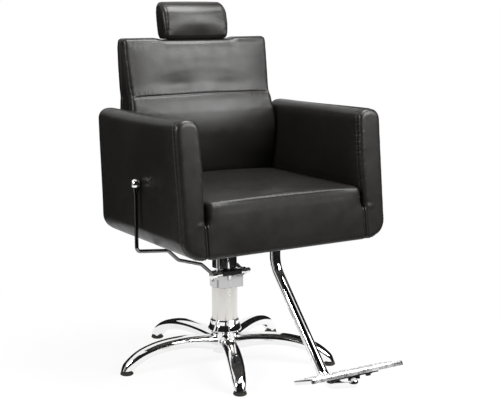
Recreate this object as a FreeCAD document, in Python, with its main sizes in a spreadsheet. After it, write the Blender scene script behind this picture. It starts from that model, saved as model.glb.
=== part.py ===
import FreeCAD, Part
import math
import os
import Sketcher

# A salon chair for eyebrow threading. Origin on the floor at the pump's axis, +Z up, the sitter faces -Y,
# +X is the sitter's left. All lengths are millimetres, and names that end in _angle hold degrees.

SIZES = {
    # Star base and glides
    "glide_circle_radius": 300,
    "first_leg_angle": -23,
    "glide_radius": 18.5,
    "glide_height": 10,
    "glide_edge": 2.5,
    "glide_nut_radius": 11.5,
    "glide_nut_height": 3,
    "leg_crown_height": 68.5,
    "leg_half_width": 22.5,
    "leg_half_depth": 17,
    "hub_clearance": 27,
    "hub_height": 84,
    "hub_foot_radius": 36,
    "hub_waist_radius": 38.5,
    "hub_skirt_radius": 48,
    "hub_skirt_drop": 20,
    "hub_skirt_lip": 5,
    "hub_top_radius": 42.3,
    "hub_floor_thickness": 6,
    "hub_edge": 2.5,
    "ring_height": 13,
    "ring_radius": 41,
    "ring_bevel": 1.5,
    "ring_slot_width": 2.4,
    "ring_slot_depth": 9,
    "bush_wall": 2.5,
    "washer_height": 3,
    # Pump
    "running_gap": 0.1,
    "cylinder_radius": 27,
    "cylinder_wall": 5,
    "cylinder_floor": 8,
    "spindle_radius": 8,
    "spindle_length": 16,
    "nut_half_flats": 12,
    "nut_height": 5,
    "nut_gap": 0.5,
    "column_radius": 37,
    "column_wall": 2,
    "column_length": 109,
    "column_foot_gap": 0.5,
    "head_radius": 42.6,
    "head_height": 38,
    "head_edge": 1.5,
    "head_corner_x": 38,
    "head_corner_y": 40,
    "head_bevel": 4,
    "clamp_slot_angle": 214,
    "clamp_slot_width": 8,
    "clamp_slot_depth": 7,
    "clamp_slot_height": 26,
    "clamp_screw_angle": 189,
    "clamp_screw_radius": 5,
    "clamp_screw_length": 12,
    "clamp_screw_proud": 1.5,
    "clamp_socket_radius": 2.6,
    "gland_radius": 26.5,
    "gland_height": 7,
    "ram_radius": 19,
    "piston_height": 20,
    "piston_rest_gap": 6,
    # Shaft of the hand lever across the pump's head
    "shaft_radius": 8,
    "shaft_forward": 36,
    "shaft_rise": 6,
    "shaft_right_reach": 50,
    "shaft_left_reach": 62.5,
    "shaft_nose": 3,
    "housing_half_length": 30,
    "housing_front": 10,
    "housing_back": 8.5,
    "housing_height": 15.5,
    "boss_radius": 12,
    "boss_length": 14,
    "arm_plate_thickness": 7,
    "arm_plate_start": 38.5,
    "arm_plate_length": 42,
    "arm_plate_depth": 9,
    "arm_plate_angle": 16,
    # Hand lever
    "rod_radius": 5,
    "rod_plan_angle": 15.6,
    "rod_seat_gap": 2,
    "rod_side_rise": 154,
    "knob_arm_gap": 8.5,
    "rod_bend_radius": 14,
    "rod_crank_radius": 24,
    "knob_radius": 12.5,
    "ferrule_length": 15,
    "ferrule_top_radius": 9,
    "ferrule_foot_radius": 6.5,
    # Seat carrier
    "seat_bottom_height": 385,
    "underside_padding": 5,
    "neck_radius": 35,
    "neck_wall": 2,
    "neck_gap": 1,
    "plate_half_width": 95,
    "plate_half_depth": 75,
    "plate_corner_radius": 14,
    "hole_clearance": 0.5,
    # Upholstered body
    "soft_gap": 0.3,
    "seam_half_width": 242.5,
    "arm_top_inner": 251,
    "arm_top_outer": 308,
    "arm_low_outer": 305,
    "arm_height": 344,
    "arm_corner_radius": 50,
    "body_front": 340,
    "body_front_lean": 42,
    "body_back": 150,
    "board_thickness": 18,
    "board_back": 130,
    "apron_thickness": 25,
    "board_corner_radius": 12,
    "arm_foam_inner": 19.5,
    "frame_thickness": 18,
    "frame_front_cover": 26,
    "frame_top_cover": 26,
    "frame_back_cover": 20,
    "frame_corner_radius": 25,
    "frame_foot_rise": 9,
    "seat_height": 144,
    "seat_crown": 6,
    "cushion_half_width": 235.5,
    "cushion_back": 114,
    "notch_depth": 53,
    "notch_rise": 8,
    "cushion_edge_radius": 14,
    # Footrest
    "foot_tube_radius": 14,
    "foot_tube_wall": 2,
    "foot_tube_start": 262,
    "foot_tube_rise": 19,
    "foot_knee_drop": 56,
    "foot_heel_y": 504.4,
    "foot_heel_height": 74,
    "foot_toe_y": 607,
    "foot_tilt_angle": 19,
    "foot_knee_radius": 75,
    "foot_heel_radius": 55,
    "cap_spigot": 12,
    "socket_half_width": 34,
    "socket_wall": 4,
    "socket_drop": 18,
    "crossbar_half_width": 78,
    "crossbar_depth": 30,
    "crossbar_thickness": 5,
    "crossbar_forward": 8,
    "saddle_half_width": 18,
    "saddle_drop": 7,
    "tread_rib_x": 50,
    "foot_plate_half_width": 137,
    "foot_plate_depth": 87,
    "foot_plate_forward": 35,
    "foot_plate_thickness": 11,
    "foot_plate_corner": 9,
    "foot_plate_edge": 3,
    "foot_plate_wall": 4,
    "foot_plate_skin": 4,
    "sheet_border": 9,
    "sheet_recess": 1.5,
    "sheet_thickness": 2,
    "sheet_rib_height": 1.2,
    "sheet_rib_width": 3,
    # Recline hinge
    "pivot_y": 165,
    "pivot_rise": 55,
    "hinge_x": 165,
    "hinge_plate": 6,
    "hinge_gap": 1,
    "hinge_boss_radius": 17,
    "hinge_pin_radius": 6,
    "pin_head_radius": 10,
    "pin_head_height": 4,
    "hinge_drop": 16,
    "hinge_foot_start": 50,
    "hinge_foot_width": 34,
    "hinge_foot_length": 70,
    "hinge_reach": 183,
    "hinge_front_gap": 3,
    "leaf_width": 34,
    "leaf_height": 85,
    "leaf_thickness": 6,
    "leaf_web_depth": 12,
    "crank_length": 75,
    "crank_rest_angle": 22.5,
    "crank_half_width": 10,
    "crank_pin_radius": 4,
    # Gas spring and its release
    "spring_x": 125,
    "spring_radius": 11,
    "spring_start": 60,
    "spring_length": 130,
    "spring_rod_radius": 4.5,
    "spring_rod_inside": 30,
    "eye_thickness": 6,
    "eye_wall": 4,
    "eye_slot_travel": 3.2,
    "saddle_block_length": 20,
    "saddle_block_half_width": 17,
    "release_head_length": 26,
    "release_head_half": 13,
    "release_rod_radius": 4,
    "release_reach": 290,
    "release_block_x": 205,
    "release_block_width": 16,
    "release_block_depth": 20,
    "paddle_length": 55,
    "paddle_width": 24,
    "paddle_thickness": 5,
    # Backrest
    "back_rise": 110,
    "lower_back_height": 262,
    "upper_back_height": 153,
    "back_half_width": 225,
    "back_low_half_width": 239.5,
    "back_board_front": 158,
    "back_board_thickness": 14,
    "back_board_half_width": 200,
    "back_board_cover": 12,
    "back_rear": 196,
    "back_crown": 9,
    "back_edge_radius": 9,
    # Headrest
    "stem_half_width": 19,
    "stem_thickness": 6,
    "stem_inside": 165,
    "stem_proud": 65,
    "guide_reach": 130,
    "guide_cover": 3,
    "guide_wall": 2,
    "liner_side": 3.5,
    "liner_face": 1.85,
    "stem_gap": 0.15,
    "head_core_half_width": 72,
    "head_core_thickness": 8,
    "head_core_rise": 20,
    "head_core_height": 50,
    "head_pad_half_width": 94,
    "head_pad_bulge": 7,
    "head_pad_height": 104,
    "head_pad_depth": 62,
    "head_pad_y": 178,
}

LEG_COUNT = 5
RING_SLOTS = 10
SHEET_RIBS = 9

# Stations along a leg: share of the glide circle's radius, share of the crown height, share of the leg's half
# depth, share of its half width, and how far the leg's line dips there in degrees. The last one is the foot.
LEG_STATION_SHARES = (
    (0.067, 0.832, 1.29, 0.93, -6),
    (0.15, 0.861, 1.235, 0.96, -7),
    (0.373, 1.0, 1.03, 1.0, -3),
    (0.593, 0.985, 0.97, 1.0, 8),
    (0.69, 0.923, 0.953, 1.0, 15),
    (0.772, 0.832, 0.935, 0.99, 24),
    (0.837, 0.733, 0.924, 0.97, 34),
    (0.893, 0.606, 0.918, 0.93, 45),
    (0.937, 0.474, 0.912, 0.88, 56),
    (0.969, 0.358, 0.906, 0.82, 68),
)
LEG_FOOT_DEPTH_SHARE = 0.94
LEG_FOOT_WIDTH_SHARE = 0.69

# The lever's two cranks: share of the rod's reach, share of the rise of its low bend.
ROD_CRANK_SHARES = (
    (0.168, 0.342),
    (0.477, 0.579),
    (0.609, 0.86),
)

DOC = FreeCAD.newDocument("threading_chair")
SHEET = DOC.addObject("Spreadsheet::Sheet", "Sizes")
PIECES = []


class Size:
    """A length that knows its number and the words that work it out from the sheet."""

    def __init__(self, number, words):
        self.number = number
        self.words = words

    def __float__(self):
        return float(self.number)

    def __add__(self, other):
        other = as_size(other)
        return Size(self.number + other.number, f"({self.words} + {other.words})")

    def __radd__(self, other):
        return as_size(other) + self

    def __sub__(self, other):
        other = as_size(other)
        return Size(self.number - other.number, f"({self.words} - {other.words})")

    def __rsub__(self, other):
        return as_size(other) - self

    def __mul__(self, share):
        share = as_size(share)
        return Size(self.number * share.number, f"({self.words} * {share.words})")

    __rmul__ = __mul__

    def __truediv__(self, share):
        share = as_size(share)
        return Size(self.number / share.number, f"({self.words} / {share.words})")

    def __neg__(self):
        return Size(-self.number, f"(-{self.words})")


def as_size(value):
    """A plain number (zero, or a share) as a Size."""
    if isinstance(value, Size):
        return value
    return Size(float(value), f"{float(value):.9f}")


class Sizes:
    """Gives each driving dimension of the sheet by its name."""

    def __getattr__(self, name):
        return Size(float(SHEET.get(name)), f"Sizes.{name}")


def fill_sheet():
    for row, (name, value) in enumerate(SIZES.items(), start=1):
        SHEET.set(f"A{row}", name)
        SHEET.set(f"B{row}", str(value))
        SHEET.setAlias(f"B{row}", name)
    DOC.recompute()


fill_sheet()
S = Sizes()
ZERO = as_size(0)


def point(x, y, z):
    return FreeCAD.Vector(float(x), float(y), float(z))


def bind(thing, **sizes):
    """Binds properties of an object to the sheet."""
    for name, size in sizes.items():
        thing.setExpression(name, as_size(size).words)


def place(thing, x=ZERO, y=ZERO, z=ZERO, axis=(0, 0, 1), angle=0.0):
    """Puts an object at a bound position, turned about an axis by a fixed angle."""
    turn = FreeCAD.Rotation(FreeCAD.Vector(*axis), float(angle))
    thing.Placement = FreeCAD.Placement(point(x, y, z), turn)
    for name, size in (("x", x), ("y", y), ("z", z)):
        thing.setExpression(f".Placement.Base.{name}", as_size(size).words)
    return thing


def keep(thing, label):
    """Marks an object as a sub-part under its own label."""
    thing.Label = label
    PIECES.append(thing)
    return thing


# Parametric building blocks


def new_body(name):
    return DOC.addObject("PartDesign::Body", name)


def origin_feature(body, role):
    return next(item for item in body.Origin.OriginFeatures if item.Role == role)


def new_sketch(body, name, role, lift=ZERO):
    sketch = body.newObject("Sketcher::SketchObject", name)
    sketch.AttachmentSupport = (origin_feature(body, role), [""])
    sketch.MapMode = "FlatFace"
    sketch.setExpression(".AttachmentOffset.Base.z", as_size(lift).words)
    return sketch


def pin_point(sketch, geometry, end, across, up, label):
    """Fixes a sketch point at bound distances from the sketch's origin."""
    for kind, size in (("DistanceX", across), ("DistanceY", up)):
        size = as_size(size)
        number = sketch.addConstraint(Sketcher.Constraint(kind, -1, 1, geometry, end, size.number))
        sketch.renameConstraint(number, f"{kind}_{label}")
        sketch.setExpression(f"Constraints.{kind}_{label}", size.words)


def outline(body, name, role, corners, lift=ZERO):
    """A closed outline of straight edges through bound corners."""
    sketch = new_sketch(body, name, role, lift)
    count = len(corners)
    spots = [point(across, up, 0) for across, up in corners]
    for index in range(count):
        sketch.addGeometry(Part.LineSegment(spots[index], spots[(index + 1) % count]), False)
    for index in range(count):
        sketch.addConstraint(Sketcher.Constraint("Coincident", index, 2, (index + 1) % count, 1))
    for index, (across, up) in enumerate(corners):
        pin_point(sketch, index, 1, across, up, index)
    return sketch


def circles(body, name, role, rings, lift=ZERO):
    """Bound circles: (across, up, radius) each."""
    sketch = new_sketch(body, name, role, lift)
    for index, (across, up, radius) in enumerate(rings):
        circle = Part.Circle(point(across, up, 0), FreeCAD.Vector(0, 0, 1), float(radius))
        sketch.addGeometry(circle, False)
        pin_point(sketch, index, 3, across, up, index)
        number = sketch.addConstraint(Sketcher.Constraint("Radius", index, float(radius)))
        sketch.renameConstraint(number, f"Radius_{index}")
        sketch.setExpression(f"Constraints.Radius_{index}", as_size(radius).words)
    return sketch


def pad(body, sketch, length, backwards=False, both_ways=False):
    feature = body.newObject("PartDesign::Pad", sketch.Name + "_pad")
    feature.Profile = sketch
    feature.Reversed = backwards
    if both_ways:
        feature.SideType = "Symmetric"
    bind(feature, Length=length)
    body.Tip = feature
    return feature


def pocket(body, sketch, length, backwards=False, both_ways=False):
    feature = body.newObject("PartDesign::Pocket", sketch.Name + "_cut")
    feature.Profile = sketch
    feature.Reversed = backwards
    if both_ways:
        feature.SideType = "Symmetric"
    bind(feature, Length=length)
    body.Tip = feature
    return feature


def round_edges(body, radius, wanted, kind="PartDesign::Fillet"):
    """Rounds or bevels the edges of the body's tip that a test picks."""
    DOC.recompute()
    base = body.Tip
    names = []
    for number, edge in enumerate(base.Shape.Edges, start=1):
        if wanted(edge):
            names.append(f"Edge{number}")
    feature = body.newObject(kind, f"{body.Name}_edges_{len(body.Group)}")
    feature.Base = (base, names)
    if kind == "PartDesign::Fillet":
        bind(feature, Radius=radius)
    else:
        bind(feature, Size=radius)
    body.Tip = feature
    return feature


def is_upright(edge):
    """Tells an edge that runs along Z."""
    ends = edge.Vertexes
    if len(ends) < 2:
        return False
    run = ends[1].Point - ends[0].Point
    return abs(run.z) > 0 and math.hypot(run.x, run.y) < abs(run.z) * EDGE_SLOPE_SHARE


EDGE_SLOPE_SHARE = 0.001


def turned(name, profile):
    """A body turned about Z from (radius, height) corners."""
    body = new_body(name)
    sketch = outline(body, name + "_profile", "XZ_Plane", profile)
    spin = body.newObject("PartDesign::Revolution", name + "_turning")
    spin.Profile = sketch
    spin.ReferenceAxis = (sketch, ["V_Axis"])
    spin.Angle = 360.0
    body.Tip = spin
    return body


def tube_profile(inner, outer, low, high):
    return [(inner, low), (outer, low), (outer, high), (inner, high)]


def box(name, low, high):
    thing = DOC.addObject("Part::Box", name)
    bind(thing, Length=high[0] - low[0], Width=high[1] - low[1], Height=high[2] - low[2])
    return place(thing, *low)


AXIS_TURNS = {"z": ((0, 0, 1), 0.0), "x": ((0, 1, 0), 90.0), "y": ((1, 0, 0), -90.0)}


def cylinder(name, radius, length, x, y, z, along="z"):
    """A cylinder that starts at a point and runs along +X, +Y or +Z."""
    thing = DOC.addObject("Part::Cylinder", name)
    bind(thing, Radius=radius, Height=length)
    axis, angle = AXIS_TURNS[along]
    return place(thing, x, y, z, axis, angle)


def join(name, things):
    thing = DOC.addObject("Part::MultiFuse", name)
    thing.Shapes = things
    return thing


def cut(name, base, tools):
    thing = DOC.addObject("Part::Cut", name)
    thing.Base = base
    thing.Tool = tools[0] if len(tools) == 1 else join(name + "_tools", tools)
    return thing


def feature(name, shape):
    """A shape worked out by this file's own functions."""
    thing = DOC.addObject("Part::Feature", name)
    thing.Shape = shape
    return thing


# Wires and lofts


def closed_wire(start, moves):
    """A closed wire: each move is (end,) for a straight run or (middle, end) for an arc."""
    edges = []
    here = start
    for move in moves:
        if len(move) == 1:
            edges.append(Part.LineSegment(here, move[0]).toShape())
        else:
            edges.append(Part.Arc(here, move[0], move[1]).toShape())
        here = move[-1]
    edges.append(Part.LineSegment(here, start).toShape())
    return Part.Wire(edges)


def strip_loft(sections):
    """A solid of straight strips between matching sections."""
    return Part.makeLoft(sections, True, True)


def bent_path(spots, radii):
    """Straight runs through the spots, joined by tangent arcs of the given radii."""
    edges = []
    here = spots[0]
    for corner, after, radius in zip(spots[1:-1], spots[2:], radii):
        back = (here - corner).normalize()
        ahead = (after - corner).normalize()
        half = back.getAngle(ahead) / 2
        reach = radius / math.tan(half)
        first = corner + back * reach
        last = corner + ahead * reach
        toward = (back + ahead).normalize()
        middle = corner + toward * (radius / math.sin(half) - radius)
        edges.append(Part.LineSegment(here, first).toShape())
        edges.append(Part.Arc(first, middle, last).toShape())
        here = last
    edges.append(Part.LineSegment(here, spots[-1]).toShape())
    return Part.Wire(edges)


def swept_round(path, radius):
    """A round bar of one radius along a path."""
    start = path.Edges[0]
    direction = start.tangentAt(start.FirstParameter)
    ring = Part.Wire([Part.makeCircle(float(radius), start.valueAt(start.FirstParameter), direction)])
    return path.makePipeShell([ring], True, False)


# Heights that follow from the stack of pieces

leg_end_height = S.glide_height + S.glide_nut_height
hub_base = S.hub_clearance
hub_floor = hub_base + S.hub_floor_thickness
hub_top = hub_base + S.hub_height
ring_top = hub_top + S.ring_height
bore_radius = S.cylinder_radius + S.running_gap + S.bush_wall
head_base = hub_top + S.column_length
head_top = head_base + S.head_height
shaft_height = head_top + S.shaft_rise
neck_base = head_top + S.housing_height + S.neck_gap
plate_base = S.seat_bottom_height
board_base = S.seat_bottom_height + S.underside_padding
board_top = board_base + S.board_thickness
board_half_width = S.seam_half_width + S.arm_foam_inner
board_front = S.body_front - S.apron_thickness
cylinder_base = hub_floor + S.washer_height
piston_base = cylinder_base + S.cylinder_floor + S.piston_rest_gap
seat_top_level = S.seat_bottom_height + S.seat_height
notch_level = seat_top_level - S.notch_depth
arm_top_level = S.seat_bottom_height + S.arm_height
knee_level = S.seat_bottom_height - S.foot_knee_drop
pivot_level = S.seat_bottom_height + S.pivot_rise
back_low_level = S.seat_bottom_height + S.back_rise
back_seam_level = back_low_level + S.lower_back_height
back_top_level = back_seam_level + S.upper_back_height
stem_low_level = back_top_level - S.stem_inside
stem_high_level = back_top_level + S.stem_proud
guide_low_level = back_top_level - S.guide_reach
core_low_level = back_top_level + S.head_core_rise
core_high_level = core_low_level + S.head_core_height
rod_side = S.arm_top_outer + S.knob_arm_gap + S.knob_radius
rod_turn = math.radians(float(S.rod_plan_angle))
rod_reach = (rod_side - S.shaft_right_reach - S.boss_length * 0.5) / math.cos(rod_turn)
rod_low_rise = S.seat_bottom_height - S.rod_seat_gap - S.rod_radius - shaft_height
rod_top_rise = rod_low_rise + S.rod_side_rise


# Shares of a size that several pieces use

SKIRT_LIP_SHARE = 0.4
TOP_EDGE_SHARE = 0.6
SOCKET_FLOOR_SHARE = 0.6
ARM_EYE_SHARE = 0.4
ARM_TIP_SHARE = 0.7
FLANGE_SHARE = 0.7
FLANGE_CORNER_SHARE = 0.6
PICK_SHARE = 0.1
RIB_SHARE = 0.6
HINGE_FOOT_SHARE = 0.4
HINGE_TOP_SHARE = 0.6
HINGE_FLAT_SHARE = 0.06
WEB_TOP_SHARE = 0.6
WEB_CORNER_SHARE = 0.8
WEB_ROOM_SHARE = 1.1
CRANK_KNEE_SHARE = 0.5
CRANK_HEEL_SHARE = 0.1
ROD_HIDDEN_SHARE = 0.3
SADDLE_SHARE = 0.4


# Star base


def leg_section(station):
    """A closed section of the leg: a rounded arch on straight sides, a flat belly and bevelled corners."""
    reach, height, depth, width, dip = station
    slope = math.radians(dip)
    up = FreeCAD.Vector(math.sin(slope), 0, math.cos(slope))
    side = FreeCAD.Vector(0, 1, 0)
    middle = FreeCAD.Vector(reach, 0, height)

    def at(shares):
        return middle + side * (shares[0] * width) + up * (shares[1] * depth)

    start = at(LEG_SECTION_SHARES[0][0])
    moves = [tuple(at(shares) for shares in step) for step in LEG_SECTION_SHARES[1:]]
    return closed_wire(start, moves)


# Across and up, as shares of the leg's half width and half depth: one share pair ends a straight run, two
# make an arc.
LEG_SECTION_SHARES = (
    ((-0.68, -1.0),),
    ((0.68, -1.0),),
    ((0.95, -0.62),),
    ((1.0, 0.0),),
    ((0.86, 0.6), (0.42, 0.93)),
    ((0.0, 1.0), (-0.42, 0.93)),
    ((-0.86, 0.6), (-1.0, 0.0)),
    ((-0.95, -0.62),),
)


def leg_solid():
    """One arched leg along +X, from inside the hub to its foot above the glide."""
    circle = float(S.glide_circle_radius)
    crown = float(S.leg_crown_height)
    depth = float(S.leg_half_depth)
    width = float(S.leg_half_width)
    stations = []
    for reach_share, height_share, depth_share, width_share, dip in LEG_STATION_SHARES:
        middle = (circle * reach_share, crown * height_share)
        stations.append((*middle, depth * depth_share, width * width_share, dip))
    foot = (circle, float(leg_end_height), depth * LEG_FOOT_DEPTH_SHARE, width * LEG_FOOT_WIDTH_SHARE, 90)
    stations.append(foot)
    return strip_loft([leg_section(station) for station in stations])


def leg_angles():
    step = 360.0 / LEG_COUNT
    return [float(S.first_leg_angle) + step * number for number in range(LEG_COUNT)]


def around_glide_circle(shape):
    """Copies of a shape made at +X, one at each leg. A leg's angle is counted from -Y towards +X."""
    copies = []
    for angle in leg_angles():
        copy = shape.copy()
        copy.rotate(FreeCAD.Vector(0, 0, 0), FreeCAD.Vector(0, 0, 1), angle - 90)
        copies.append(copy)
    return copies


def make_star_base():
    skirt_base = hub_top - S.hub_skirt_drop
    hub = turned("hub_turning", [
        (ZERO, hub_base),
        (S.hub_foot_radius - S.hub_edge, hub_base),
        (S.hub_foot_radius, hub_base + S.hub_edge),
        (S.hub_waist_radius, skirt_base),
        (S.hub_skirt_radius, skirt_base + S.hub_skirt_lip * SKIRT_LIP_SHARE),
        (S.hub_skirt_radius, skirt_base + S.hub_skirt_lip),
        (S.hub_top_radius, hub_top - S.hub_edge * TOP_EDGE_SHARE),
        (S.hub_top_radius - S.hub_edge * TOP_EDGE_SHARE, hub_top),
        (ZERO, hub_top),
    ])
    legs = []
    for number, shape in enumerate(around_glide_circle(leg_solid()), start=1):
        legs.append(feature(f"leg_form_{number}", shape))
    casting = join("star_casting", [hub] + legs)
    bore = turned("bore_tool", [
        (ZERO, hub_base - S.hub_edge),
        (S.spindle_radius + S.running_gap, hub_base - S.hub_edge),
        (S.spindle_radius + S.running_gap, hub_floor),
        (bore_radius, hub_floor),
        (bore_radius, hub_top + S.hub_edge),
        (ZERO, hub_top + S.hub_edge),
    ])
    keep(cut("star_base", casting, [bore]), "star_base")


def make_glides():
    edge = S.glide_edge
    glide = turned("glide_turning", [
        (ZERO, ZERO),
        (S.glide_radius - edge, ZERO),
        (S.glide_radius, edge),
        (S.glide_radius - edge, S.glide_height),
        (ZERO, S.glide_height),
    ])
    nut = turned("nut_turning", [
        (ZERO, S.glide_height),
        (S.glide_nut_radius, S.glide_height),
        (S.glide_nut_radius, leg_end_height),
        (ZERO, leg_end_height),
    ])
    DOC.recompute()
    for label, source in (("glides", glide), ("glide_nuts", nut)):
        shape = source.Shape.copy()
        shape.translate(point(S.glide_circle_radius, 0, 0))
        keep(feature(label, Part.makeCompound(around_glide_circle(shape))), label)


def make_collar_ring():
    inner = S.column_radius + S.running_gap
    body = turned("collar_ring", [
        (inner, hub_top),
        (S.ring_radius, hub_top),
        (S.ring_radius, ring_top - S.ring_bevel * 2),
        (S.ring_radius - S.ring_bevel, ring_top),
        (inner, ring_top),
    ])
    slot = outline(body, "slot_profile", "XZ_Plane", [
        (inner - S.ring_bevel, ring_top - S.ring_slot_depth),
        (S.ring_radius + S.ring_bevel, ring_top - S.ring_slot_depth),
        (S.ring_radius + S.ring_bevel, ring_top + S.ring_bevel),
        (inner - S.ring_bevel, ring_top + S.ring_bevel),
    ])
    one = pocket(body, slot, S.ring_slot_width, both_ways=True)
    pattern = body.newObject("PartDesign::PolarPattern", "ring_slots")
    pattern.Originals = [one]
    pattern.Axis = (origin_feature(body, "Z_Axis"), [""])
    pattern.Angle = 360.0
    pattern.Occurrences = RING_SLOTS
    body.Tip = pattern
    keep(body, "collar_ring")


def make_bearings():
    inner = S.cylinder_radius + S.running_gap
    keep(turned("swivel_bush", tube_profile(inner, bore_radius, hub_floor, hub_top)), "swivel_bush")
    washer = tube_profile(
        S.spindle_radius + S.running_gap, S.cylinder_radius - S.running_gap, hub_floor, cylinder_base
    )
    keep(turned("thrust_washer", washer), "thrust_washer")


# Pump


def make_pump_cylinder():
    spindle_end = cylinder_base - S.spindle_length
    keep(turned("pump_cylinder", [
        (ZERO, spindle_end),
        (S.spindle_radius, spindle_end),
        (S.spindle_radius, cylinder_base),
        (S.cylinder_radius, cylinder_base),
        (S.cylinder_radius, head_base),
        (S.cylinder_radius - S.cylinder_wall, head_base),
        (S.cylinder_radius - S.cylinder_wall, cylinder_base + S.cylinder_floor),
        (ZERO, cylinder_base + S.cylinder_floor),
    ]), "pump_cylinder")
    nut_base = hub_base - S.nut_gap - S.nut_height
    nut = DOC.addObject("Part::Prism", "nut_blank")
    nut.Polygon = 6
    bind(nut, Circumradius=S.nut_half_flats / math.cos(math.pi / 6), Height=S.nut_height)
    place(nut, z=nut_base)
    hole = cylinder("nut_hole", S.spindle_radius, S.nut_height, ZERO, ZERO, nut_base)
    keep(cut("retaining_nut", nut, [hole]), "retaining_nut")


def make_column_shroud():
    low = hub_top + S.column_foot_gap
    inner = S.column_radius - S.column_wall
    keep(turned("column_shroud", tube_profile(inner, S.column_radius, low, head_base)), "column_shroud")


def make_pump_head():
    """Round collar with a square corner, a clamp slot, a screw boss and a groove for the lever's shaft."""
    edge = S.head_edge
    collar = turned("head_collar", [
        (ZERO, head_base),
        (S.head_radius - edge, head_base),
        (S.head_radius, head_base + edge),
        (S.head_radius, head_top - edge),
        (S.head_radius - edge, head_top),
        (ZERO, head_top),
    ])
    corner = new_body("head_corner")
    square = outline(corner, "corner_outline", "XY_Plane", [
        (ZERO, -S.head_corner_y),
        (S.head_corner_x, -S.head_corner_y),
        (S.head_corner_x, ZERO),
        (ZERO, ZERO),
    ], lift=head_base)
    pad(corner, square, S.head_height)
    high = float(head_top)

    def on_outer_top(edge_tested):
        centre = edge_tested.CenterOfMass
        outside = centre.x > float(S.head_corner_x) * CORNER_SIDE_SHARE
        in_front = centre.y < -float(S.head_corner_y) * CORNER_SIDE_SHARE
        return abs(centre.z - high) < float(edge) and (outside or in_front)

    round_edges(corner, S.head_bevel, on_outer_top, "PartDesign::Chamfer")
    ram_hole = cylinder(
        "ram_hole", S.ram_radius + S.running_gap, S.head_height, ZERO, ZERO, head_base
    )
    groove = cylinder(
        "shaft_groove",
        S.shaft_radius + S.running_gap,
        S.head_radius * 3,
        -S.head_radius * 1.5,
        -S.shaft_forward,
        shaft_height,
        "x",
    )
    slot = DOC.addObject("Part::Box", "clamp_slot")
    bind(slot, Length=S.clamp_slot_depth * 2, Width=S.clamp_slot_width, Height=S.clamp_slot_height)
    turn = math.radians(float(S.clamp_slot_angle))
    start = S.head_radius - S.clamp_slot_depth
    place(
        slot,
        start * math.cos(turn) + S.clamp_slot_width * 0.5 * math.sin(turn),
        start * math.sin(turn) - S.clamp_slot_width * 0.5 * math.cos(turn),
        head_base - edge,
        angle=S.clamp_slot_angle,
    )
    solid = join("head_solid", [collar, corner])
    screw = clamp_screw_tool("clamp_screw_seat")
    keep(cut("pump_head", solid, [ram_hole, groove, slot, screw]), "pump_head")


CORNER_SIDE_SHARE = 0.9


def clamp_screw_tool(name):
    """The clamp screw's shank, set radially into the collar."""
    thing = DOC.addObject("Part::Cylinder", name)
    bind(thing, Radius=S.clamp_screw_radius, Height=S.clamp_screw_length)
    turn = math.radians(float(S.clamp_screw_angle))
    outward = FreeCAD.Vector(math.cos(turn), math.sin(turn), 0)
    start = S.head_radius + S.clamp_screw_proud - S.clamp_screw_length
    middle = head_base + S.head_height * 0.5
    place(thing, start * math.cos(turn), start * math.sin(turn), middle)
    thing.Placement.Rotation = FreeCAD.Rotation(FreeCAD.Vector(0, 0, 1), outward)
    return thing


def make_clamp_screw():
    shank = clamp_screw_tool("clamp_screw_shank")
    socket = DOC.addObject("Part::Prism", "clamp_screw_socket")
    socket.Polygon = 6
    bind(socket, Circumradius=S.clamp_socket_radius, Height=S.clamp_screw_radius)
    turn = math.radians(float(S.clamp_screw_angle))
    start = S.head_radius + S.clamp_screw_proud - S.clamp_screw_radius * SOCKET_FLOOR_SHARE
    place(socket, start * math.cos(turn), start * math.sin(turn), head_base + S.head_height * 0.5)
    outward = FreeCAD.Vector(math.cos(turn), math.sin(turn), 0)
    socket.Placement.Rotation = FreeCAD.Rotation(FreeCAD.Vector(0, 0, 1), outward)
    keep(cut("clamp_screw", shank, [socket]), "clamp_screw")


def make_gland_nut():
    inner = S.ram_radius + S.running_gap
    low = head_top
    high = head_top + S.gland_height
    edge = S.head_edge
    keep(turned("gland_nut", [
        (inner, low),
        (S.gland_radius, low),
        (S.gland_radius, high - edge),
        (S.gland_radius - edge, high),
        (inner, high),
    ]), "gland_nut")


def make_shaft_housing():
    """Dark bearing block on the head, bored across for the lever's shaft."""
    body = new_body("shaft_housing")
    front = -S.shaft_forward - S.housing_front
    back = -S.shaft_forward + S.housing_back
    face = outline(body, "housing_outline", "YZ_Plane", [
        (front, head_top),
        (back, head_top),
        (back, head_top + S.housing_height),
        (front + S.head_bevel, head_top + S.housing_height),
        (front, head_top + S.housing_height - S.head_bevel),
    ])
    pad(body, face, S.housing_half_length * 2, both_ways=True)
    bore = circles(body, "housing_bore", "YZ_Plane", [
        (-S.shaft_forward, shaft_height, S.shaft_radius + S.running_gap),
    ])
    pocket(body, bore, S.housing_half_length * 3, both_ways=True)
    keep(body, "shaft_housing")


# Hand lever


def plan_direction():
    turn = math.radians(float(S.rod_plan_angle))
    return FreeCAD.Vector(-math.cos(turn), -math.sin(turn), 0)


def rod_start():
    return point(-S.shaft_right_reach - S.boss_length * 0.5, -S.shaft_forward, shaft_height)


def rod_spot(reach, rise):
    """A point of the lever's rod, by its reach out from the shaft's end and its rise above the shaft."""
    return rod_start() + plan_direction() * float(reach) + FreeCAD.Vector(0, 0, float(rise))


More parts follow.
